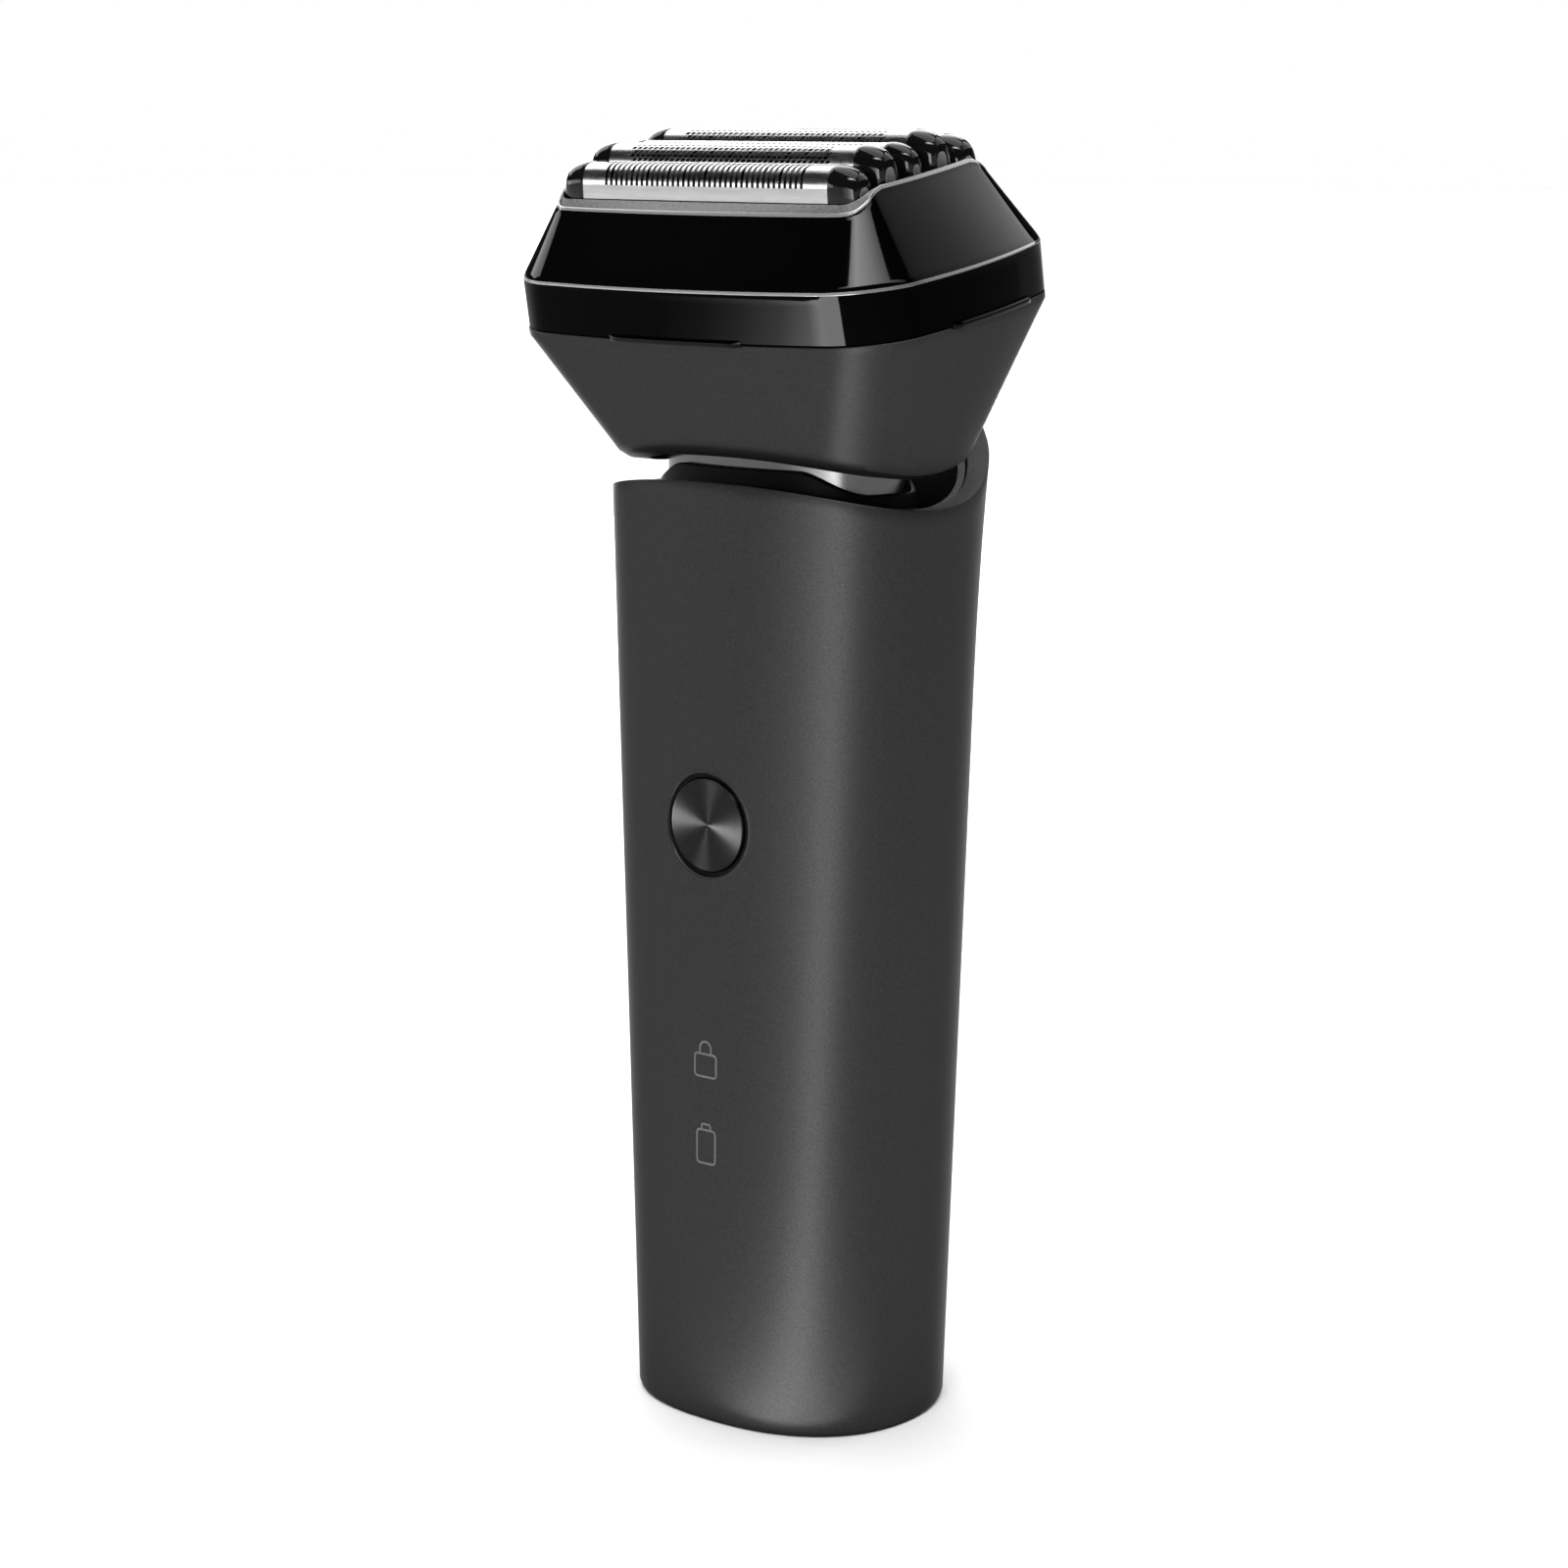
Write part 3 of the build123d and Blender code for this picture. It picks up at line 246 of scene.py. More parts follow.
def spun(name, value, roughness):
    """Lathe-turned metal facing -Y: fine rings, and anisotropy that spreads each light's highlight
    into a wedge from the centre."""
    g = Graph(name)
    centre = (0.0, 0.0, -BUTTON_Z * MM)
    where = g.node("TexCoord").outputs["Object"]
    local = g.node("Mapping", Vector=where, Location=centre, Scale=(1.0, 0.0, 1.0)).outputs["Vector"]
    radius = g.node("VectorMath", operation="LENGTH")
    g.put(radius.inputs[0], local)
    scaled = g.node("Math", operation="MULTIPLY")
    g.put(scaled.inputs[0], radius.outputs["Value"])
    scaled.inputs[1].default_value = 9000.0
    rings = g.node("TexNoise", noise_dimensions="1D", W=scaled.outputs[0], Scale=1.0, Detail=3.0)
    height = rings.outputs["Fac"]
    g.set(Base_Color=g.ramp(height, [(0.3, value * 0.8), (0.7, value)]), Metallic=1.0)
    g.set(Roughness=g.ramp(height, [(0.3, roughness * 0.85), (0.7, roughness * 1.15)]))
    g.set(Anisotropic=0.93, Anisotropic_Rotation=0.25)
    tangent = g.node("Tangent", direction_type="RADIAL", axis="Y")
    g.put(g.shader.inputs["Tangent"], tangent.outputs["Tangent"])
    g.bump(height, 0.08, 0.00001)
    return g.material


def satin(name, value):
    """Bead-blasted dark grey with a metallic sparkle, soft broad highlights."""
    g = Graph(name)
    fine = g.noise(4200.0, 2.0, 0.6).outputs["Fac"]
    broad = g.noise(25.0, 2.0).outputs["Fac"]
    g.set(Base_Color=g.ramp(fine, [(0.3, value * 0.82), (0.7, value * 1.18)]))
    g.set(Roughness=g.ramp(broad, [(0.3, 0.36), (0.7, 0.4)]), Metallic=0.8)
    g.set(Specular_Tint=(0.4, 0.4, 0.4, 1.0), Specular_IOR_Level=0.3)
    g.bump(fine, 0.16, 0.00002)
    return g.material


CASING = satin("casing_satin", 0.027)
SHELL = satin("head_satin", 0.026)
RIM_GREY = plain("rim_satin_grey", (0.09, 0.09, 0.092), 0.5, 0.3, 2600.0, 0.3, 0.25)
GLOSS = gloss("bezel_gloss_black", 0.0003)
BAND = gloss("band_gloss_black", 0.0003, 0.04, 1.2)
EDGE = plain("edge_polished", (0.16, 0.16, 0.16), 0.18, 0.7, 2600.0, 0.05, 0.0)
CAP_GLOSS = gloss("cap_gloss_black", 0.003, 0.22)
FOIL = brushed("foil_steel", (0.44, 0.44, 0.44), 0.2, (0.15, 1.0, 1.0))
# Cutters coloured near black as painted shade: the dark stands for the shade inside the head seen through the foil
# openings, not the steel's own colour.
CUTTER_PAINTED_SHADE = brushed("cutter_steel", (0.015, 0.015, 0.015), 0.35, (1.0, 0.15, 1.0))
BRIGHT = plain("neck_bright_metal", (0.09, 0.09, 0.09), 0.2, 1.0, 1400.0, 0.06, 0.0)
BUTTON = spun("button_spun_metal", 0.012, 0.37)
BLACK = plain("matt_black", (0.003, 0.003, 0.003), 0.45, specular=0.05)
INSERT = plain("cap_insert_grey", (0.05, 0.05, 0.05), 0.5, 0.0, 1500.0)
ICON = plain("icon_grey", (0.085, 0.085, 0.085), 0.55, 0.2, 1500.0)
DARK = plain("dark_plastic", (0.05, 0.05, 0.055), 0.5)
RUBBER = plain("seal_rubber", (0.02, 0.02, 0.02), 0.8, 0.0, 700.0, 0.2, 0.15)
STEEL = plain("plain_steel", (0.5, 0.5, 0.5), 0.32, 1.0, 1400.0)
BRASS = plain("machined_brass", (0.65, 0.48, 0.2), 0.3, 1.0, 1400.0)
WRAP = plain("cell_wrap", (0.08, 0.2, 0.35), 0.35, 0.0, 300.0)
BOARD = plain("board_green", (0.02, 0.13, 0.05), 0.4, 0.0, 500.0)
CLEAR = plain("light_guide", (0.8, 0.8, 0.82), 0.15)

SLOT_MATERIAL = {
    "satin_casing": CASING,
    "satin_head": SHELL,
    "casing_black": BLACK,
    "gloss_black": GLOSS,
    "cap_black": CAP_GLOSS,
    "satin_grey": RIM_GREY,
    "foil_steel": FOIL,
    "cutter_steel": CUTTER_PAINTED_SHADE,
    "bright_metal": BRIGHT,
    "button_metal": BUTTON,
    "dark_plastic": DARK,
    "seal_rubber": RUBBER,
    "plain_steel": STEEL,
    "brass_weight": BRASS,
    "cell_wrap": WRAP,
    "board_green": BOARD,
    "clear_guide": CLEAR,
}


def finish_cad_nodes():
    """Gives each carried-over CAD node its slot's material and smooth shading."""
    for part in frame["record"]["subparts"]:
        node = frame["nodes"][part["node"]]
        node.data.materials.clear()
        node.data.materials.append(SLOT_MATERIAL[part["material_slot"]])
        smooth_by_angle(node.data, 30.0)


# ---------------------------------------------------------------- handle


def handle_point(angle, z, inset=0.0):
    """A point of the handle's section: flatter front, deeper back that flares near the top."""
    c, s = math.cos(angle), math.sin(angle)
    half = HALF_WIDTH + WIDTH_GAIN * z - inset
    if s > 0:
        flare = FLARE_GAIN * min(1.0, max(0.0, (z - FLARE_START) / FLARE_SPAN)) ** 2
        depth, power = BACK_DEPTH + BACK_GAIN * z + flare - inset, BACK_POWER
    else:
        depth, power = FRONT_DEPTH - FRONT_LOSS * z - inset, FRONT_POWER
    x = half * math.copysign(abs(c) ** (2 / power), c)
    y = depth * math.copysign(abs(s) ** (2 / power), s)
    return x, y, z


def rim_height(y):
    """Height of the saddle rim at depth y, easing into the flat top at the back."""
    saddle = RIM_Z - math.sqrt(max(RIM_RADIUS**2 - (y - RIM_Y) ** 2, 1.0))
    return RIM_TOP - math.log(1.0 + math.exp(RIM_EASE * (RIM_TOP - saddle))) / RIM_EASE


def rim_point(angle, inset, drop=0.0):
    """The point of a column where the wall, moved in by inset, meets the rim."""
    z = 118.0
    for _ in range(12):
        x, y, _ = handle_point(angle, z, inset)
        z = rim_height(y)
    return x, y, z - drop


def front_y(x, z):
    """Depth of the handle's front face at x."""
    half, depth = HALF_WIDTH + WIDTH_GAIN * z, FRONT_DEPTH - FRONT_LOSS * z
    return -depth * (1 - (abs(x) / half) ** FRONT_POWER) ** (1 / FRONT_POWER)


def handle_skin():
    """Casing: chamfered foot, long walls, saddle rim with a fine edge, and the inner wall."""
    angles = [2 * math.pi * i / HANDLE_COLUMNS for i in range(HANDLE_COLUMNS)]
    edge, foot = 0.22, 0.75
    rows = [[handle_point(a, 0.0, 1.75) for a in angles]]
    rows.append([handle_point(a, 0.0, foot) for a in angles])
    rows.append([handle_point(a, 0.12, foot * 0.55) for a in angles])
    rows.append([handle_point(a, 0.38, foot * 0.2) for a in angles])
    base = 0.85
    steps = 64
    for k in range(steps + 1):
        row = []
        for a in angles:
            top = rim_point(a, 0.0)[2] - edge
            row.append(handle_point(a, base + (top - base) * k / steps))
        rows.append(row)
    rows.append([rim_point(a, edge * 0.3, edge * 0.3) for a in angles])
    rows.append([rim_point(a, edge) for a in angles])
    rows.append([rim_point(a, RIM_WALL - 0.15) for a in angles])
    rows.append([rim_point(a, RIM_WALL, 0.15) for a in angles])
    rows.append([handle_point(a, 109.0, RIM_WALL) for a in angles])
    rows.append([handle_point(a, 108.0, 1.75) for a in angles])
    points, faces = ring_grid(rows, close_rows=True)
    skin = mesh_piece("handle_casing", points, faces, CASING, "handle", ["handle_shell"])
    bpy.ops.mesh.primitive_cylinder_add(vertices=160, radius=BUTTON_HOLE * MM, depth=0.008)
    cutter = bpy.context.object
    cutter.location = (0, -0.0165, BUTTON_Z * MM)
    cutter.rotation_euler = (math.pi / 2, 0, 0)
    bpy.context.view_layer.update()
    modifier(skin, "BOOLEAN", object=cutter, operation="DIFFERENCE", solver="EXACT")
    apply_modifiers(skin)
    bpy.data.objects.remove(cutter)
    tidy_mesh(skin.data)
    smooth_by_angle(skin.data, 35.0)


def circle_row(radius, depth, count=128, follow=False):
    """A ring round the button's centre; follow keeps it on the curved front face."""
    row = []
    for i in range(count):
        a = 2 * math.pi * i / count
        x, z = radius * math.cos(a), BUTTON_Z + radius * math.sin(a)
        y = front_y(x, z) + depth if follow else depth
        row.append((x, y, z))
    return row


def button_pieces():
    """Lip of the button's well, the well wall and the spun cap."""
    profile = ((6.92, 0.03), (6.86, -0.025), (6.66, -0.02), (6.5, 0.16), (6.44, 0.5))
    lip = [circle_row(radius, depth, follow=True) for radius, depth in profile]
    lip += [circle_row(radius, -13.2) for radius in (6.44, 6.58)]
    points, faces = ring_grid(lip, close_rows=True)
    mesh_piece("button_well_lip", points, faces, CASING, "handle", sharp=50.0)
    face, back_y, bevel = BUTTON_FACE_Y, -14.4, 0.16
    rows = [circle_row(BUTTON_RADIUS - 0.1, back_y), circle_row(BUTTON_RADIUS, -14.5)]
    rows += [circle_row(BUTTON_RADIUS, face + 0.22), circle_row(BUTTON_RADIUS - 0.05, face + 0.08)]
    rows += [circle_row(BUTTON_RADIUS - bevel, face)]
    for k in range(1, 12):
        share = k / 12
        rows.append(circle_row((BUTTON_RADIUS - bevel) * (1 - share), face + 0.12 * share * share))
    points, faces = ring_grid(rows)
    count = len(rows[0])
    points += [(0, face + 0.13, BUTTON_Z), (0, back_y, BUTTON_Z)]
    top, back = len(points) - 2, len(points) - 1
    last = (len(rows) - 1) * count
    faces += [(last + i, last + (i + 1) % count, top) for i in range(count)]
    faces += [((i + 1) % count, i, back) for i in range(count)]
    body, stands_for = "power_button", ["button_cap"]
    mesh_piece("button_spun_cap", points, faces, BUTTON, body, stands_for, sharp=30.0)


def ribbon(name, path, width, closed):
    """A raised line on the handle's front that follows (x, z) points."""
    count = len(path)
    rings = []
    for i, (x, z) in enumerate(path):
        before = path[i - 1] if closed or i else path[i]
        after = path[(i + 1) % count] if closed or i < count - 1 else path[i]
        along = Vector((after[0] - before[0], after[1] - before[1])).normalized()
        side = Vector((-along.y, along.x)) * width / 2
        ring = []
        for sign, lift in ((1, 0.05), (1, -0.012), (-1, -0.012), (-1, 0.05)):
            px, pz = x + side.x * sign, z + side.y * sign
            ring.append((px, front_y(px, pz) + lift, pz))
        rings.append(ring)
    points = [p for ring in rings for p in ring]
    faces = []
    for i in range(count if closed else count - 1):
        j = (i + 1) % count
        for k in range(4):
            m = (k + 1) % 4
            faces.append((4 * i + k, 4 * j + k, 4 * j + m, 4 * i + m))
    if not closed:
        faces += [(0, 1, 2, 3), (4 * count - 1, 4 * count - 2, 4 * count - 3, 4 * count - 4)]
    mesh_piece(name, points, faces, ICON, "handle")


def rounded_box_path(x, z, half_x, half_z, radius, steps=7):
    """A closed rounded rectangle round (x, z)."""
    path = []
    corners = [(1, 1, 0), (-1, 1, 90), (-1, -1, 180), (1, -1, 270)]
    for sx, sz, start in corners:
        for k in range(steps + 1):
            a = math.radians(start + 90 * k / steps)
            path.append((x + sx * (half_x - radius) + radius * math.cos(a),
                         z + sz * (half_z - radius) + radius * math.sin(a)))
    return path


def arch_path(x, z, half_x, height, radius, steps=10):
    """An upside-down U from the left foot to the right foot."""
    path = [(x - half_x, z)]
    for k in range(steps + 1):
        a = math.radians(180 - 90 * k / steps)
        path.append((x - half_x + radius + radius * math.cos(a), z + height - radius + radius * math.sin(a)))
    for k in range(steps + 1):
        a = math.radians(90 - 90 * k / steps)
        path.append((x + half_x - radius + radius * math.cos(a), z + height - radius + radius * math.sin(a)))
    path.append((x + half_x, z))
    return path


def icons():
    """Generic padlock and battery marks below the button."""
    stroke = 0.27
    lock_z, battery_z = 46.35, 35.9
    ribbon("icon_lock_body", rounded_box_path(0, lock_z, 1.75, 1.45, 0.45), stroke, True)
    ribbon("icon_lock_shackle", arch_path(0, lock_z + 1.45, 0.9, 1.6, 0.9), stroke, False)
    ribbon("icon_battery_body", rounded_box_path(0.1, battery_z, 1.5, 2.15, 0.5), stroke, True)
    ribbon("icon_battery_tip", arch_path(0.1, battery_z + 2.15, 0.72, 0.75, 0.3, 5), stroke, False)


# ---------------------------------------------------------------- head shells

# Half width, half depth, bow at the sides, bow at front and back, corner radius, height.
COVER_FOOT = (31.886, 20.441, 3.06, 2.28, 6.99, -6.167)
COVER_EDGE = (32.096, 20.515, 3.06, 2.28, 7.64, 0.0)
COVER_CROWN = (24.95, 12.6, 1.0, 0.8, 2.5, 10.5)
OPENING = (23.95, 12.8, 0.3, 0.1, 2.0, 8.0)
RIM_LOW, RIM_HIGH, RIM_BEND_OUT, RIM_BEND_IN = 8.0, 10.4, 13.9, 8.4
COVER_WALL = 1.2
SHELL_TOP, SHELL_LIP_TOP, SHELL_WALL_TOP = -7.17, -6.3, -7.25


def between(lower, upper, w):
    """The section at height w between two others."""
    t = (w - lower[5]) / (upper[5] - lower[5])
    return tuple(a + (b - a) * t for a, b in zip(lower[:5], upper[:5])) + (w,)


def outline(shape, inset=0.0, long_steps=26, short_steps=18, corner_steps=12):
    """Bowed rounded rectangle as (x, v) points, counter-clockwise from the front left."""
    half_x, half_y, bow_x, bow_y, radius, _ = shape
    hx, hy = half_x - inset, half_y - inset
    r = max(radius - inset * 0.6, 0.5)
    flat = []
    sides = [
        ((-hx + r, -hy), (hx - r, -hy), long_steps, (hx - r, -hy + r), -90),
        ((hx, -hy + r), (hx, hy - r), short_steps, (hx - r, hy - r), 0),
        ((hx - r, hy), (-hx + r, hy), long_steps, (-hx + r, hy - r), 90),
        ((-hx, hy - r), (-hx, -hy + r), short_steps, (-hx + r, -hy + r), 180),
    ]
    for (x0, y0), (x1, y1), steps, (cx, cy), start in sides:
        for k in range(steps):
            flat.append((x0 + (x1 - x0) * k / steps, y0 + (y1 - y0) * k / steps))
        for k in range(corner_steps):
            a = math.radians(start + 90 * k / corner_steps)
            flat.append((cx + r * math.cos(a), cy + r * math.sin(a)))
    bowed = []
    for x, y in flat:
        bowed.append((x * (1 - bow_x / hx * (y / hy) ** 2), y * (1 - bow_y / hy * (x / hx) ** 2)))
    return bowed


def level(shape, inset=0.0, w=None):
    """A section's outline as a row of points, at its own height or at w."""
    height = shape[5] if w is None else w
    return [(x, v, height) for x, v in outline(shape, inset)]


def crown(v):
    """Height of the cover's top edge: low at front and back, with an S-bend up to the sides."""
    return RIM_HIGH - (RIM_HIGH - RIM_LOW) * smoothstep(RIM_BEND_IN, RIM_BEND_OUT, abs(v))


def crown_row(share, inset=0.0, lift=0.0):
    """Row part of the way from the band's edge to the crown line."""
    count = len(outline(COVER_EDGE))
    heights = [9.0] * count
    for _ in range(14):
        for i in range(count):
            shape = between(COVER_EDGE, COVER_CROWN, heights[i])
            heights[i] = crown(outline_point(shape, i)[1])
    row = []
    for i in range(count):
        w = heights[i] * share
        x, v = outline_point(between(COVER_EDGE, COVER_CROWN, w), i, inset)
        row.append((x, v, w + lift))
    return row


OUTLINE_CACHE = {}


def outline_point(shape, index, inset=0.0):
    """One column's point of a section's outline."""
    key = (tuple(round(s, 3) for s in shape), inset)
    if key not in OUTLINE_CACHE:
        OUTLINE_CACHE[key] = outline(shape, inset)
    return OUTLINE_CACHE[key][index]


# Rows of the cover that are polished: the edge above the band and the bead along the crown.
EDGE_ROWS = (8, 9, 10, 25, 26, 27, 28, 29)
GLOSS_INDEX, EDGE_INDEX, BAND_INDEX = 0, 1, 2


def cover():
    """Gloss cover: band, crisp edge, sloping bezel and a polished bead along the crown."""
    rows = [level(COVER_FOOT, COVER_WALL), level(COVER_FOOT, 0.12)]
    rows.append(level(COVER_FOOT, 0.0, COVER_FOOT[5] + 0.12))
    for k in range(1, 6):
        rows.append(level(between(COVER_FOOT, COVER_EDGE, COVER_FOOT[5] + 5.95 * k / 5)))
    rows += [level(COVER_EDGE, inset, w) for inset, w in ((0.0, -0.2), (0.03, -0.06), (0.09, 0.06))]
    rows.append(crown_row(0.02))
    for k in range(1, 15):
        rows.append(crown_row(0.02 + 0.965 * k / 14))
    bead = ((0.0, 0.1), (0.07, 0.22), (0.18, 0.28), (0.3, 0.2), (0.36, 0.0))
    rows += [crown_row(1.0, inset, lift) for inset, lift in bead]
    rows += [crown_row(share, COVER_WALL) for share in (0.9, 0.02)]
    points, faces = ring_grid(rows, close_rows=True)
    name, stands_for = "cassette_gloss_cover", ["cassette_cover"]
    shell = mesh_piece(name, points, faces, GLOSS, "cassette", stands_for, HEAD, 32.0)
    shell.data.materials.append(EDGE)
    shell.data.materials.append(BAND)
    columns = len(rows[0])
    for polygon in shell.data.polygons:
        row = polygon.index // columns
        if row in EDGE_ROWS:
            polygon.material_index = EDGE_INDEX
        else:
            polygon.material_index = BAND_INDEX if row < EDGE_ROWS[0] else GLOSS_INDEX


def finger_lips():
    """Thin ledges along the band's foot, front, back and sides."""
    foot = COVER_FOOT[5] - 0.32
    count = 24
    long_lip, short_lip = (-10.5, 10.5), (-6.5, 9.0)
    lips = {
        "front": (-1, 0, *long_lip),
        "back": (1, 0, *long_lip),
        "right": (0, 1, *short_lip),
        "left": (0, -1, *short_lip),
    }
    half_x, half_y, bow_x, bow_y = COVER_FOOT[:4]
    for name, (sv, sx, low, high) in lips.items():
        rows = []
        for k in range(count + 1):
            s = low + (high - low) * k / count
            taper = min(1.0, min(s - low, high - s) / 0.7 + 0.02)
            section = []
            for out, up in ((-0.6, 0.0), (0.42, 0.0), (0.5, 0.16), (0.5, 0.5), (0.36, 0.72), (-0.6, 0.8)):
                out = out * taper if out > 0 else out
                if sv:
                    edge = half_y - bow_y * (s / half_x) ** 2 + out
                    section.append((s, sv * edge, foot + up))
                else:
                    edge = half_x - bow_x * (s / half_y) ** 2 + out
                    section.append((sx * edge, s, foot + up))
            rows.append(section)
        points, faces = ring_grid(rows)
        size = len(rows[0])
        faces += [tuple(range(size)), tuple(len(points) - 1 - i for i in range(size))]
        mesh_piece(f"finger_lip_{name}", points, faces, GLOSS, "cassette", (), HEAD, 45.0)


def satin_rim():
    """Grey frame between the cover's crown and the foils."""
    opening = outline(OPENING)
    outer = crown_row(1.0, 0.33, 0.06)
    heights = [crown(v) + 0.12 + 0.75 * smoothstep(9.0, 12.5, abs(v)) for _, v in opening]
    inner = [(x, v, w) for (x, v), w in zip(opening, heights)]
    rows = [[(x, v, w - 1.2) for x, v, w in outer], outer]
    for share in (0.3, 0.6, 0.88):
        rows.append([tuple(a + (b - a) * share for a, b in zip(p, q)) for p, q in zip(outer, inner)])
    rows.append([(x, v, w - 0.04) for x, v, w in inner])
    tucked = outline(OPENING, -0.1)
    rows.append([(x, v, w - 0.3) for (x, v), w in zip(tucked, heights)])
    rows.append([(x, v, 2.4) for x, v in tucked])
    points, faces = ring_grid(rows, close_rows=True)
    mesh_piece("carrier_satin_rim", points, faces, RIM_GREY, "cassette", (), HEAD, 38.0)


def shell_shape(w):
    """Section of the tapering shell at height w."""
    depth = SHELL_TOP - w
    half_x, half_y, bow_x, bow_y, radius, _ = COVER_FOOT
    return (half_x - 0.509 * depth, half_y - 0.336 * depth, bow_x, bow_y, radius + 0.023 * depth, w)


def tilt_radius(point):
    """Distance from the tilt axis of a point in the head's frame."""
    p = HEAD @ Vector(point)
    return math.hypot(p.y - TILT_Y, p.z - TILT_Z)


def shell_foot_heights(radius, inset):
    """For each column, the height where the tapering wall meets the curved underside."""
    heights = []
    for i in range(len(outline(COVER_FOOT))):
        low, high = -30.0, -12.0
        for _ in range(26):
            middle = (low + high) / 2
            x, v = outline_point(shell_shape(round(middle, 3)), i, inset)
            if tilt_radius((x, v, middle)) > radius:
                low = middle
            else:
                high = middle
        heights.append((low + high) / 2)
    return heights


def lower_shell():
    """Tapering satin shell with its lip, curved foot and underside with the neck's way in."""
    lip = shell_shape(SHELL_TOP)
    rows = [level(lip, SHELL_WALL, SHELL_LIP_TOP), level(lip, 0.1, SHELL_LIP_TOP)]
    rows += [level(lip, 0.0, -6.42), level(lip, 0.0, -7.08), level(shell_shape(SHELL_WALL_TOP))]
    feet = shell_foot_heights(UNDERSIDE_RADIUS - 0.5, 0.0)
    steps = 16
    for k in range(1, steps + 1):
        row = []
        for i, foot in enumerate(feet):
            w = SHELL_WALL_TOP + (foot - SHELL_WALL_TOP) * k / steps
            x, v = outline_point(shell_shape(round(w, 3)), i)
            row.append((x, v, w))
        rows.append(row)
    edge = []
    for i, foot in enumerate(shell_foot_heights(UNDERSIDE_RADIUS, 0.5)):
        x, v = outline_point(shell_shape(round(foot, 3)), i, 0.5)
        edge.append((x, v, foot))
    rows.append(edge)
    world = [HEAD @ Vector(p) for p in edge]
    back = HEAD.inverted()
    hole = neck_way_in(world)
    under = []
    for share in (0.25, 0.5, 0.75, 1.0):
        row = []
        for p, q in zip(world, hole):
            x, y = p.x + (q[0] - p.x) * share, p.y + (q[1] - p.y) * share
            z = TILT_Z - math.sqrt(UNDERSIDE_RADIUS**2 - (y - TILT_Y) ** 2)
            row.append(tuple(back @ Vector((x, y, z))))
        under.append(row)
    rows += under + [[(x, v, w + SHELL_FLOOR) for x, v, w in row] for row in reversed(under)]
    inner_feet = shell_foot_heights(UNDERSIDE_RADIUS - SHELL_FLOOR, SHELL_WALL)
    for share in (0.0, 0.35, 0.7, 1.0):
        row = []
        for i, foot in enumerate(inner_feet):
            w = foot + (SHELL_WALL_TOP - foot) * share
            x, v = outline_point(shell_shape(round(w, 3)), i, SHELL_WALL)
            row.append((x, v, w))
        rows.append(row)
    points, faces = ring_grid(rows, close_rows=True)
    stands_for = ["head_lower_shell"]
    mesh_piece("head_satin_shell", points, faces, SHELL, "head", stands_for, HEAD, 22.0)


def neck_way_in(world):
    """Oval opening in the underside, a point facing each column of the shell's foot."""
    points = []
    for p in world:
        angle = math.atan2((p.y - NECK_Y) / WAY_IN_DEPTH, p.x / WAY_IN_WIDTH)
        c, s = math.cos(angle), math.sin(angle)
        x, y = neck_point(c, s, WAY_IN_GROW)
        points.append((x, y + TILT_ROOM * max(-1.0, min(1.0, 8 * s))))
    return points


def neck_point(c, s, grow):
    """A point of the neck's oval section, from the cosine and sine of its angle."""
    x = (NECK_HALF_WIDTH + grow) * math.copysign(abs(c) ** NECK_POWER, c)
    return x, NECK_Y + (NECK_HALF_DEPTH + grow) * math.copysign(abs(s) ** NECK_POWER, s)


def neck_collar():
    """Dark collar round the neck, with a rounded top edge that dips towards the sides."""
    outer, inner = 0.9, 0.2
    edge = ((outer, 0.2), (0.84, 0.06), (0.7, 0.0), (0.4, 0.0), (0.26, 0.08), (inner, 0.3))
    rows = []
    for grow, drop in ((outer, None), *edge, (inner, None)):
        row = []
        for i in range(NECK_COLUMNS):
            a = 2 * math.pi * i / NECK_COLUMNS
            x, y = neck_point(math.cos(a), math.sin(a), grow)
            top = COLLAR_TOP - COLLAR_DIP * smoothstep(COLLAR_DIP_START, NECK_HALF_WIDTH, abs(x))
            row.append((x, y, COLLAR_FOOT if drop is None else top - drop))
        rows.append(row)
    points, faces = ring_grid(rows, close_rows=True)
    stands_for = ["neck_collar"]
    mesh_piece("neck_collar_ring", points, faces, BLACK, "handle", stands_for, sharp=50.0)


# ---------------------------------------------------------------- foils


def arch_line(half, top, foot, count=14):
    """Foil section from the front skirt over the dome to the back skirt, as (v, w) points."""
    start = max(foot + 0.1, top - ARCH_DEPTH * half)
    skirt = [(half, (foot + start) / 2), (half, foot)]
    line = [(-v, w) for v, w in skirt[::-1]]
    for k in range(count + 1):
        a = math.pi * (1 - k / count)
        c, s = math.cos(a), max(0.0, math.sin(a))
        v = half * math.copysign(abs(c) ** (2 / ARCH_POWER), c)
        line.append((v, start + (top - start) * s ** (2 / ARCH_POWER)))
    return line + skirt


class Arch:
    """A foil section measured by length, so that openings can be laid out on it."""

    def __init__(self, half, top, foot):
        self.line = arch_line(half, top, foot, 48)
        self.marks = [0.0]
        for a, b in zip(self.line, self.line[1:]):
            self.marks.append(self.marks[-1] + math.dist(a, b))
        self.length = self.marks[-1]

    def at(self, s):
        """The (v, w) point at length s along the section."""
        s = min(self.length, max(0.0, s))
        for i in range(len(self.marks) - 1):
            if s <= self.marks[i + 1]:
                t = (s - self.marks[i]) / (self.marks[i + 1] - self.marks[i])
                a, b = self.line[i], self.line[i + 1]
                return a[0] + (b[0] - a[0]) * t, a[1] + (b[1] - a[1]) * t
        return self.line[-1]


def foil_arch(index):
    return Arch(UNIT_HALF[index], UNIT_TOP[index], FOIL_FOOT)


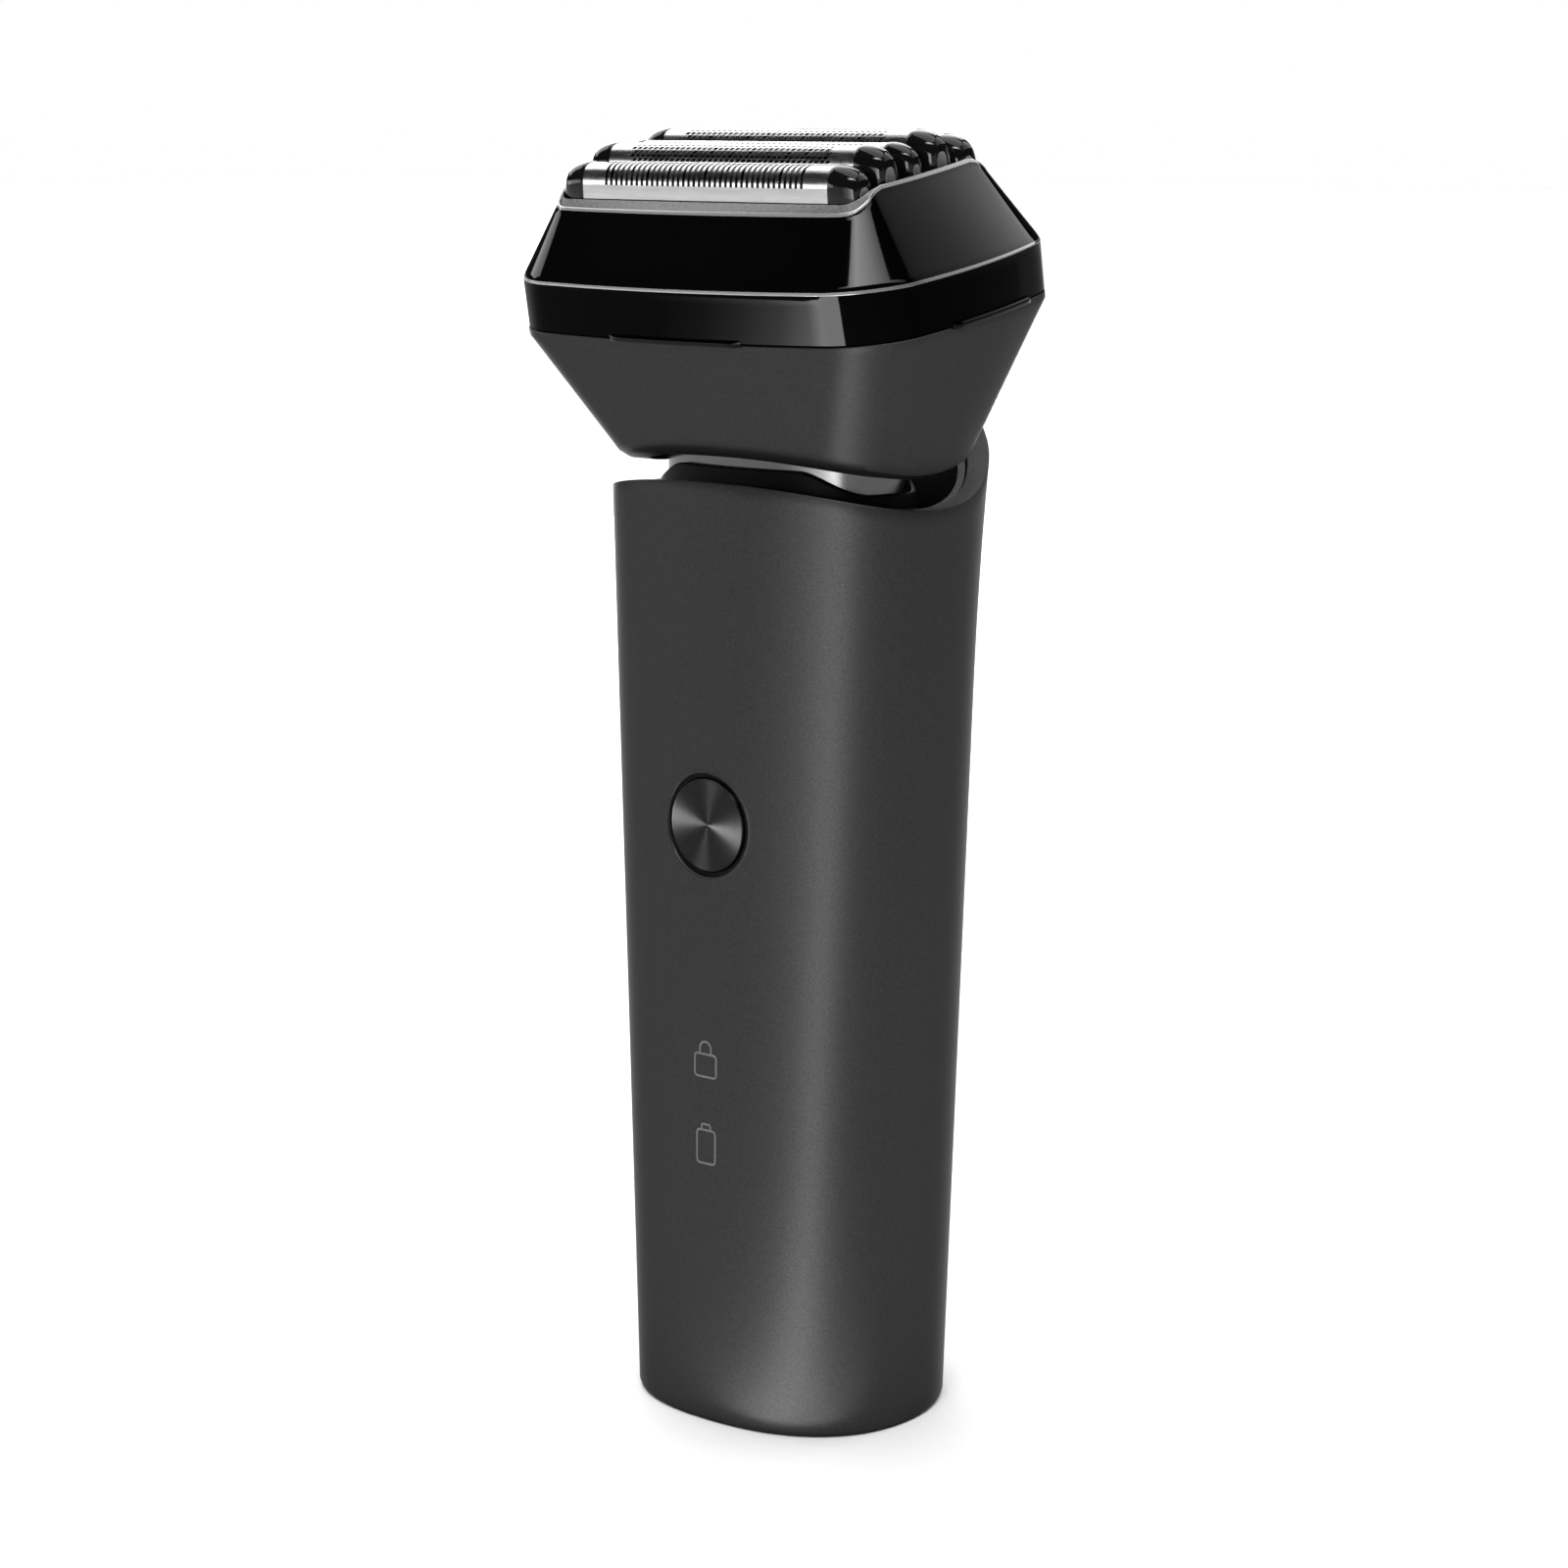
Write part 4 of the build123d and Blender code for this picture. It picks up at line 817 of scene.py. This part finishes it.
def foil_piece(name, index, points, faces):
    """Turns a sheet laid out on (x, s) into a thin steel foil."""
    v0 = UNIT_V[index]
    arch = foil_arch(index)
    placed = []
    for x, s in points:
        v, w = arch.at(s)
        placed.append((x, v + v0, w))
    body, stands_for = f"foil_unit_{index + 1}", [f"foil_{index + 1}"]
    piece = mesh_piece(name, placed, faces, FOIL, body, stands_for, HEAD, 50.0)
    modifier(piece, "SOLIDIFY", thickness=FOIL_THICK * MM, offset=-1.0, use_even_offset=False)
    apply_modifiers(piece)
    smooth_by_angle(piece.data, 50.0)


def slotted_sheet(length, slots, pitch, width, bands, rows=28):
    """Sheet over (x, s) with upright slots; bands are (low, high) lengths where the slots are open."""
    first_rib = (slots / 2 + 2.2) * pitch
    xs = [-FOIL_HALF_LENGTH, -first_rib]
    for k in range(slots):
        centre = (k - (slots - 1) / 2) * pitch
        xs += [centre - width / 2, centre + width / 2]
    xs += [first_rib, FOIL_HALF_LENGTH]
    marks = sorted({length * k / rows for k in range(rows + 1)} | {m for band in bands for m in band})
    points = [(x, s) for s in marks for x in xs]
    faces = []
    for r in range(len(marks) - 1):
        middle = (marks[r] + marks[r + 1]) / 2
        is_open = any(low < middle < high for low, high in bands)
        for c in range(len(xs) - 1):
            in_slot = 2 <= c < len(xs) - 3 and c % 2 == 0
            if in_slot and is_open:
                continue
            a = r * len(xs) + c
            faces.append((a, a + 1, a + len(xs) + 1, a + len(xs)))
    return points, faces


def mesh_sheet(length, half_span, pitch_x, pitch_s, low, high, hole):
    """Sheet over (x, s) with a leaning lattice of small openings between low and high; hole is
    an opening's share of its cell."""
    columns = int(2 * half_span / pitch_x)
    rows = int((high - low) / pitch_s)
    start = -columns * pitch_x / 2
    points, faces, lattice = [], [], []
    for j in range(rows + 1):
        s = low + (high - low) * j / rows
        shift = 0.5 * pitch_x * (j % 2)
        line = []
        for i in range(columns + 1 - (j % 2)):
            line.append(len(points))
            points.append((start + i * pitch_x + shift, s))
        if j % 2:
            line.insert(0, len(points))
            points.append((start, s))
            line.append(len(points))
            points.append((start + columns * pitch_x, s))
        lattice.append(line)
    for j in range(rows):
        below, above = lattice[j], lattice[j + 1]
        if j % 2 == 0:
            faces.append((below[0], above[1], above[0]))
            pairs = [(below[i], below[i + 1], above[i + 2], above[i + 1]) for i in range(len(below) - 2)]
            faces.append((below[-2], below[-1], above[-1], above[-2]))
        else:
            pairs = [(below[i], below[i + 1], above[i + 1], above[i]) for i in range(1, len(below) - 2)]
            faces.append((below[0], below[1], above[1], above[0]))
            faces.append((below[-2], below[-1], above[-1]))
        for quad in pairs:
            centre = [sum(points[q][k] for q in quad) / 4 for k in (0, 1)]
            inner = []
            for q in quad:
                inner.append(len(points))
                points.append(tuple(centre[k] + (points[q][k] - centre[k]) * hole for k in (0, 1)))
            for k in range(4):
                m = (k + 1) % 4
                faces.append((quad[k], quad[m], inner[m], inner[k]))
    frame_sheet(points, faces, lattice, length)
    return points, faces


def frame_sheet(points, faces, lattice, length):
    """Plain metal round the lattice: two end strips and the two skirts."""
    ends = {}
    for side, pick, x in (("left", 0, -FOIL_HALF_LENGTH), ("right", -1, FOIL_HALF_LENGTH)):
        outer = []
        for line in lattice:
            outer.append(len(points))
            points.append((x, points[line[pick]][1]))
        for j in range(len(lattice) - 1):
            a, b = lattice[j][pick], lattice[j + 1][pick]
            quad = (outer[j], a, b, outer[j + 1])
            faces.append(quad if side == "left" else quad[::-1])
        ends[side] = outer
    steps = 4
    for line_index, target in ((0, 0.0), (len(lattice) - 1, length)):
        line = [ends["left"][line_index], *lattice[line_index], ends["right"][line_index]]
        start = points[line[0]][1]
        previous = line
        for k in range(1, steps + 1):
            s = start + (target - start) * k / steps
            current = []
            for q in line:
                current.append(len(points))
                points.append((points[q][0], s))
            for i in range(len(line) - 1):
                quad = (previous[i], previous[i + 1], current[i + 1], current[i])
                faces.append(quad if target > start else quad[::-1])
            previous = current


def foils():
    """Slotted outer foils, meshed second and fourth foils, and the narrow middle trimmer."""
    slots, slotted_margin, mesh_margin = 38, 3.62, 4.0
    for index in (0, 4):
        length = foil_arch(index).length
        points, faces = slotted_sheet(length, slots, 0.84, 0.42, [(slotted_margin, length - slotted_margin)])
        foil_piece(f"foil_slotted_{index + 1}", index, points, faces)
    for index in (1, 3):
        length = foil_arch(index).length
        points, faces = mesh_sheet(length, 16.3, 0.88, 0.5, mesh_margin, length - mesh_margin, 0.7)
        foil_piece(f"foil_mesh_{index + 1}", index, points, faces)
    length = foil_arch(2).length
    middle, near, far = length / 2, 0.55, 2.1
    bands = [(middle - far, middle - near), (middle + near, middle + far)]
    points, faces = slotted_sheet(length, slots, 0.85, 0.36, bands)
    foil_piece("foil_trimmer_3", 2, points, faces)


def close_ends(rows, side):
    """Points and faces of stacked sections with both ends closed, turned for the side they are on."""
    points, faces = ring_grid(rows)
    size = len(rows[0])
    faces += [tuple(range(size))[::-1], tuple(len(points) - size + i for i in range(size))]
    return points, [face[::-1] for face in faces] if side < 0 else faces


def end_cap(index, side):
    """Gloss bullet-nosed cap with a grey end plate."""
    v0, top, half = UNIT_V[index], UNIT_TOP[index] + 0.1, UNIT_HALF[index]
    length = CAP_END - FOIL_HALF_LENGTH
    stations = [0.0, 0.04, 0.2, 0.38, 0.55, 0.7, 0.82, 0.91, 0.97, 1.0]
    rows = []
    for f in stations:
        fall = 1 - math.sqrt(max(0.0, 1 - f**2))
        tuck = 0.06 if f == 0 else 0.0
        line = arch_line(half - 0.7 * f**4 - tuck, top - 1.9 * fall - tuck, CAP_FOOT, 20)
        x = side * (FOIL_HALF_LENGTH + length * f)
        rows.append([(x, v + v0, w) for v, w in line])
    points, faces = close_ends(rows, side)
    name = "right" if side > 0 else "left"
    stands_for = [f"end_caps_{index + 1}"] if side > 0 else ()
    body = f"foil_unit_{index + 1}"
    cap = f"end_cap_{index + 1}_{name}"
    mesh_piece(cap, points, faces, CAP_GLOSS, body, stands_for, HEAD, 45.0)
    plate_half, plate_top = half * 0.42, top - 2.6
    plate = []
    for x, shrink in ((CAP_END - 0.5, 0.0), (CAP_END + 0.02, 0.0), (CAP_END + 0.1, 0.1)):
        line = arch_line(plate_half - shrink, plate_top - shrink, 8.0 + shrink, 16)
        plate.append([(side * x, v + v0, w) for v, w in line])
    points, faces = close_ends(plate, side)
    end_plate = f"end_plate_{index + 1}_{name}"
    mesh_piece(end_plate, points, faces, INSERT, body, (), HEAD, 40.0)


# ---------------------------------------------------------------- stage, lights and camera

LIGHT_TARGET = Vector((0.0, 0.0, 0.085))
SURROUND = 0.03
HORIZON_LOW, HORIZON_HIGH = 0.035, 0.11
FLOOR_GAP = 0.0005
NEAR_FLOOR, FAR_FLOOR = 0.57, 0.97
POOL_INNER, POOL_OUTER = 0.5, 1.6


def panel(name, place, size, radiance, stops=None):
    """Soft rectangular light facing the shaver from place: azimuth from the button side towards
    +X and elevation in degrees, and distance. Stops shade it from its low-azimuth end onwards."""
    azimuth, elevation, distance = place
    a, e = math.radians(azimuth), math.radians(elevation)
    toward = Vector((math.sin(a) * math.cos(e), -math.cos(a) * math.cos(e), math.sin(e)))
    data = bpy.data.lights.new(name, "AREA")
    data.shape = "RECTANGLE"
    data.size, data.size_y = size
    data.energy = radiance * math.pi * size[0] * size[1]
    if stops:
        data.use_nodes = True
        tree = data.node_tree
        across = tree.nodes.new("ShaderNodeSeparateXYZ")
        tree.links.new(tree.nodes.new("ShaderNodeNewGeometry").outputs["Parametric"], across.inputs[0])
        shade = tree.nodes.new("ShaderNodeValToRGB")
        fill_ramp(shade.color_ramp, stops)
        tree.links.new(across.outputs["X"], shade.inputs["Fac"])
        tree.links.new(shade.outputs["Color"], tree.nodes["Emission"].inputs["Color"])
    light = bpy.data.objects.new(name, data)
    light.location = LIGHT_TARGET + toward * distance
    light.rotation_euler = toward.to_track_quat("Z", "Y").to_euler()
    light.visible_camera = False
    bpy.context.scene.collection.objects.link(light)
    return light


def lights():
    """Overhead sky light for the floor, and panels placed for the highlights; some light only
    the pieces they are named with."""
    data = bpy.data.lights.new("overhead", "SUN")
    data.energy = 3.3
    data.angle = math.radians(70)
    overhead = bpy.data.objects.new("overhead", data)
    bpy.context.scene.collection.objects.link(overhead)
    rising = [(0.0, 0.05), (0.3, 0.18), (0.6, 0.5), (0.8, 1.0), (1.0, 0.5)]
    panel("front_wide", (8, 2, 1.0), (0.85, 0.3), 14.0, rising)
    panel("front_left", (-58, 7, 1.0), (0.9, 0.08), 4.0)
    panel("rim_right", (168, 6, 1.0), (0.4, 0.3), 0.6)
    panel("back_fill", (232, 8, 1.0), (0.35, 0.5), 5.0)
    light_only(panel("button_side", (-75, -10, 0.3), (0.1, 0.042), 135.0), ["button_spun_cap"])
    light_only(panel("button_top", (-36, 10, 1.0), (0.1, 0.07), 190.0), ["button_spun_cap"])
    panel("foil_softbox", (-115, 38, 1.0), (1.5, 0.7), 3.9)
    panel("side_softbox", (144, 38, 1.0), (0.95, 0.6), 4.2, [(0.0, 0.12), (0.5, 0.45), (1.0, 1.0)])
    wedge = [(0.0, 0.0), (0.15, 0.3), (0.29, 1.0), (0.45, 0.7), (0.61, 0.35), (0.85, 0.1), (1.0, 0.0)]
    panel("corner_strip", (48, 49, 1.0), (1.4, 0.16), 30.0, wedge)
    rising = [(0.1, 0.0), (0.2, 0.017), (0.28, 0.06), (0.37, 0.17), (0.43, 0.42), (0.5, 0.9), (1.0, 1.0)]
    floor_panel("band_strip", (-0.125, -0.335), -11, (0.44, 0.09), 240.0, rising, ["cassette_gloss_cover"])
    hump = [(0.0, 0.0), (0.3, 0.15), (0.5, 1.0), (0.7, 0.25), (1.0, 0.0)]
    satin_pieces = ["handle_casing", "head_satin_shell", "button_well_lip"]
    floor_panel("low_strip", (0.175, -0.371), 25, (0.24, 0.4), 9.5, hump, satin_pieces)
    floor_panel("foot_strip", (0.049, -0.104), 25, (0.088, 0.19), 7.8, hump, satin_pieces)


def floor_panel(name, centre, turn, size, radiance, stops, lit):
    """Soft panel lying face up just above the floor, which lights the named pieces only."""
    light = panel(name, (0, 0, 1), size, radiance, stops)
    light.location = (*centre, FLOOR_GAP)
    light.rotation_euler = (math.pi, 0, math.radians(turn))
    light_only(light, lit)


def light_only(light, lit):
    """Links a light to the named pieces, so that it reaches nothing else."""
    receivers = bpy.data.collections.new(light.name)
    for piece in lit:
        receivers.objects.link(bpy.data.objects[piece])
    light.light_linking.receiver_collection = receivers


def set_range(node, from_min, from_max, to_min, to_max):
    """Sets the limits of a Map Range node."""
    node.inputs["From Min"].default_value = from_min
    node.inputs["From Max"].default_value = from_max
    node.inputs["To Min"].default_value = to_min
    node.inputs["To Max"].default_value = to_max


def floor_material():
    """Matt white, a little darker in the pool of light under the object so that it looks even."""
    g = Graph("floor_white")
    away = g.node("VectorMath", operation="LENGTH")
    g.put(away.inputs[0], g.node("TexCoord").outputs["Object"])
    pool = g.node("MapRange", Value=away.outputs["Value"], interpolation_type="SMOOTHSTEP")
    set_range(pool, POOL_INNER, POOL_OUTER, NEAR_FLOOR, FAR_FLOOR)
    g.set(Base_Color=pool.outputs["Result"], Roughness=0.8, Specular_IOR_Level=0.1)
    return g.material


def stage():
    """Plain pale floor that meets a white horizon, under a dim grey surround."""
    bpy.ops.mesh.primitive_plane_add(size=12.0, location=(0, 0, 0))
    floor = bpy.context.object
    floor.name = "studio_floor"
    floor.data.materials.append(floor_material())
    world = bpy.data.worlds.new("studio")
    bpy.context.scene.world = world
    world.use_nodes = True
    tree = world.node_tree
    where = tree.nodes.new("ShaderNodeTexCoord").outputs["Generated"]
    split = tree.nodes.new("ShaderNodeSeparateXYZ")
    tree.links.new(where, split.inputs[0])
    fade = tree.nodes.new("ShaderNodeMapRange")
    fade.interpolation_type = "SMOOTHSTEP"
    tree.links.new(split.outputs["Z"], fade.inputs["Value"])
    set_range(fade, HORIZON_LOW, HORIZON_HIGH, 1.0, SURROUND)
    tree.links.new(fade.outputs["Result"], tree.nodes["Background"].inputs["Color"])
    bpy.context.scene.view_settings.view_transform = "Standard"


def camera():
    """85 mm view from the front right, a little above the handle's middle."""
    azimuth, pitch, distance = math.radians(40.3737), math.radians(10.4227), 469.453
    target = Vector((-0.572, -0.486, 79.727))
    level_out = math.cos(pitch)
    back = Vector((math.sin(azimuth) * level_out, -math.cos(azimuth) * level_out, math.sin(pitch)))
    data = bpy.data.cameras.new("camera")
    data.lens, data.sensor_width = 85.4, 36.0
    data.clip_start, data.clip_end = 0.01, 50.0
    made = bpy.data.objects.new("camera", data)
    made.location = (target + back * distance) * MM
    made.rotation_euler = back.to_track_quat("Z", "Y").to_euler()
    bpy.context.scene.collection.objects.link(made)
    bpy.context.scene.camera = made


finish_cad_nodes()
handle_skin()
button_pieces()
icons()
cover()
finger_lips()
satin_rim()
lower_shell()
neck_collar()
foils()
for unit in range(len(UNIT_V)):
    for end_side in (-1, 1):
        end_cap(unit, end_side)
stage()
camera()
lights()
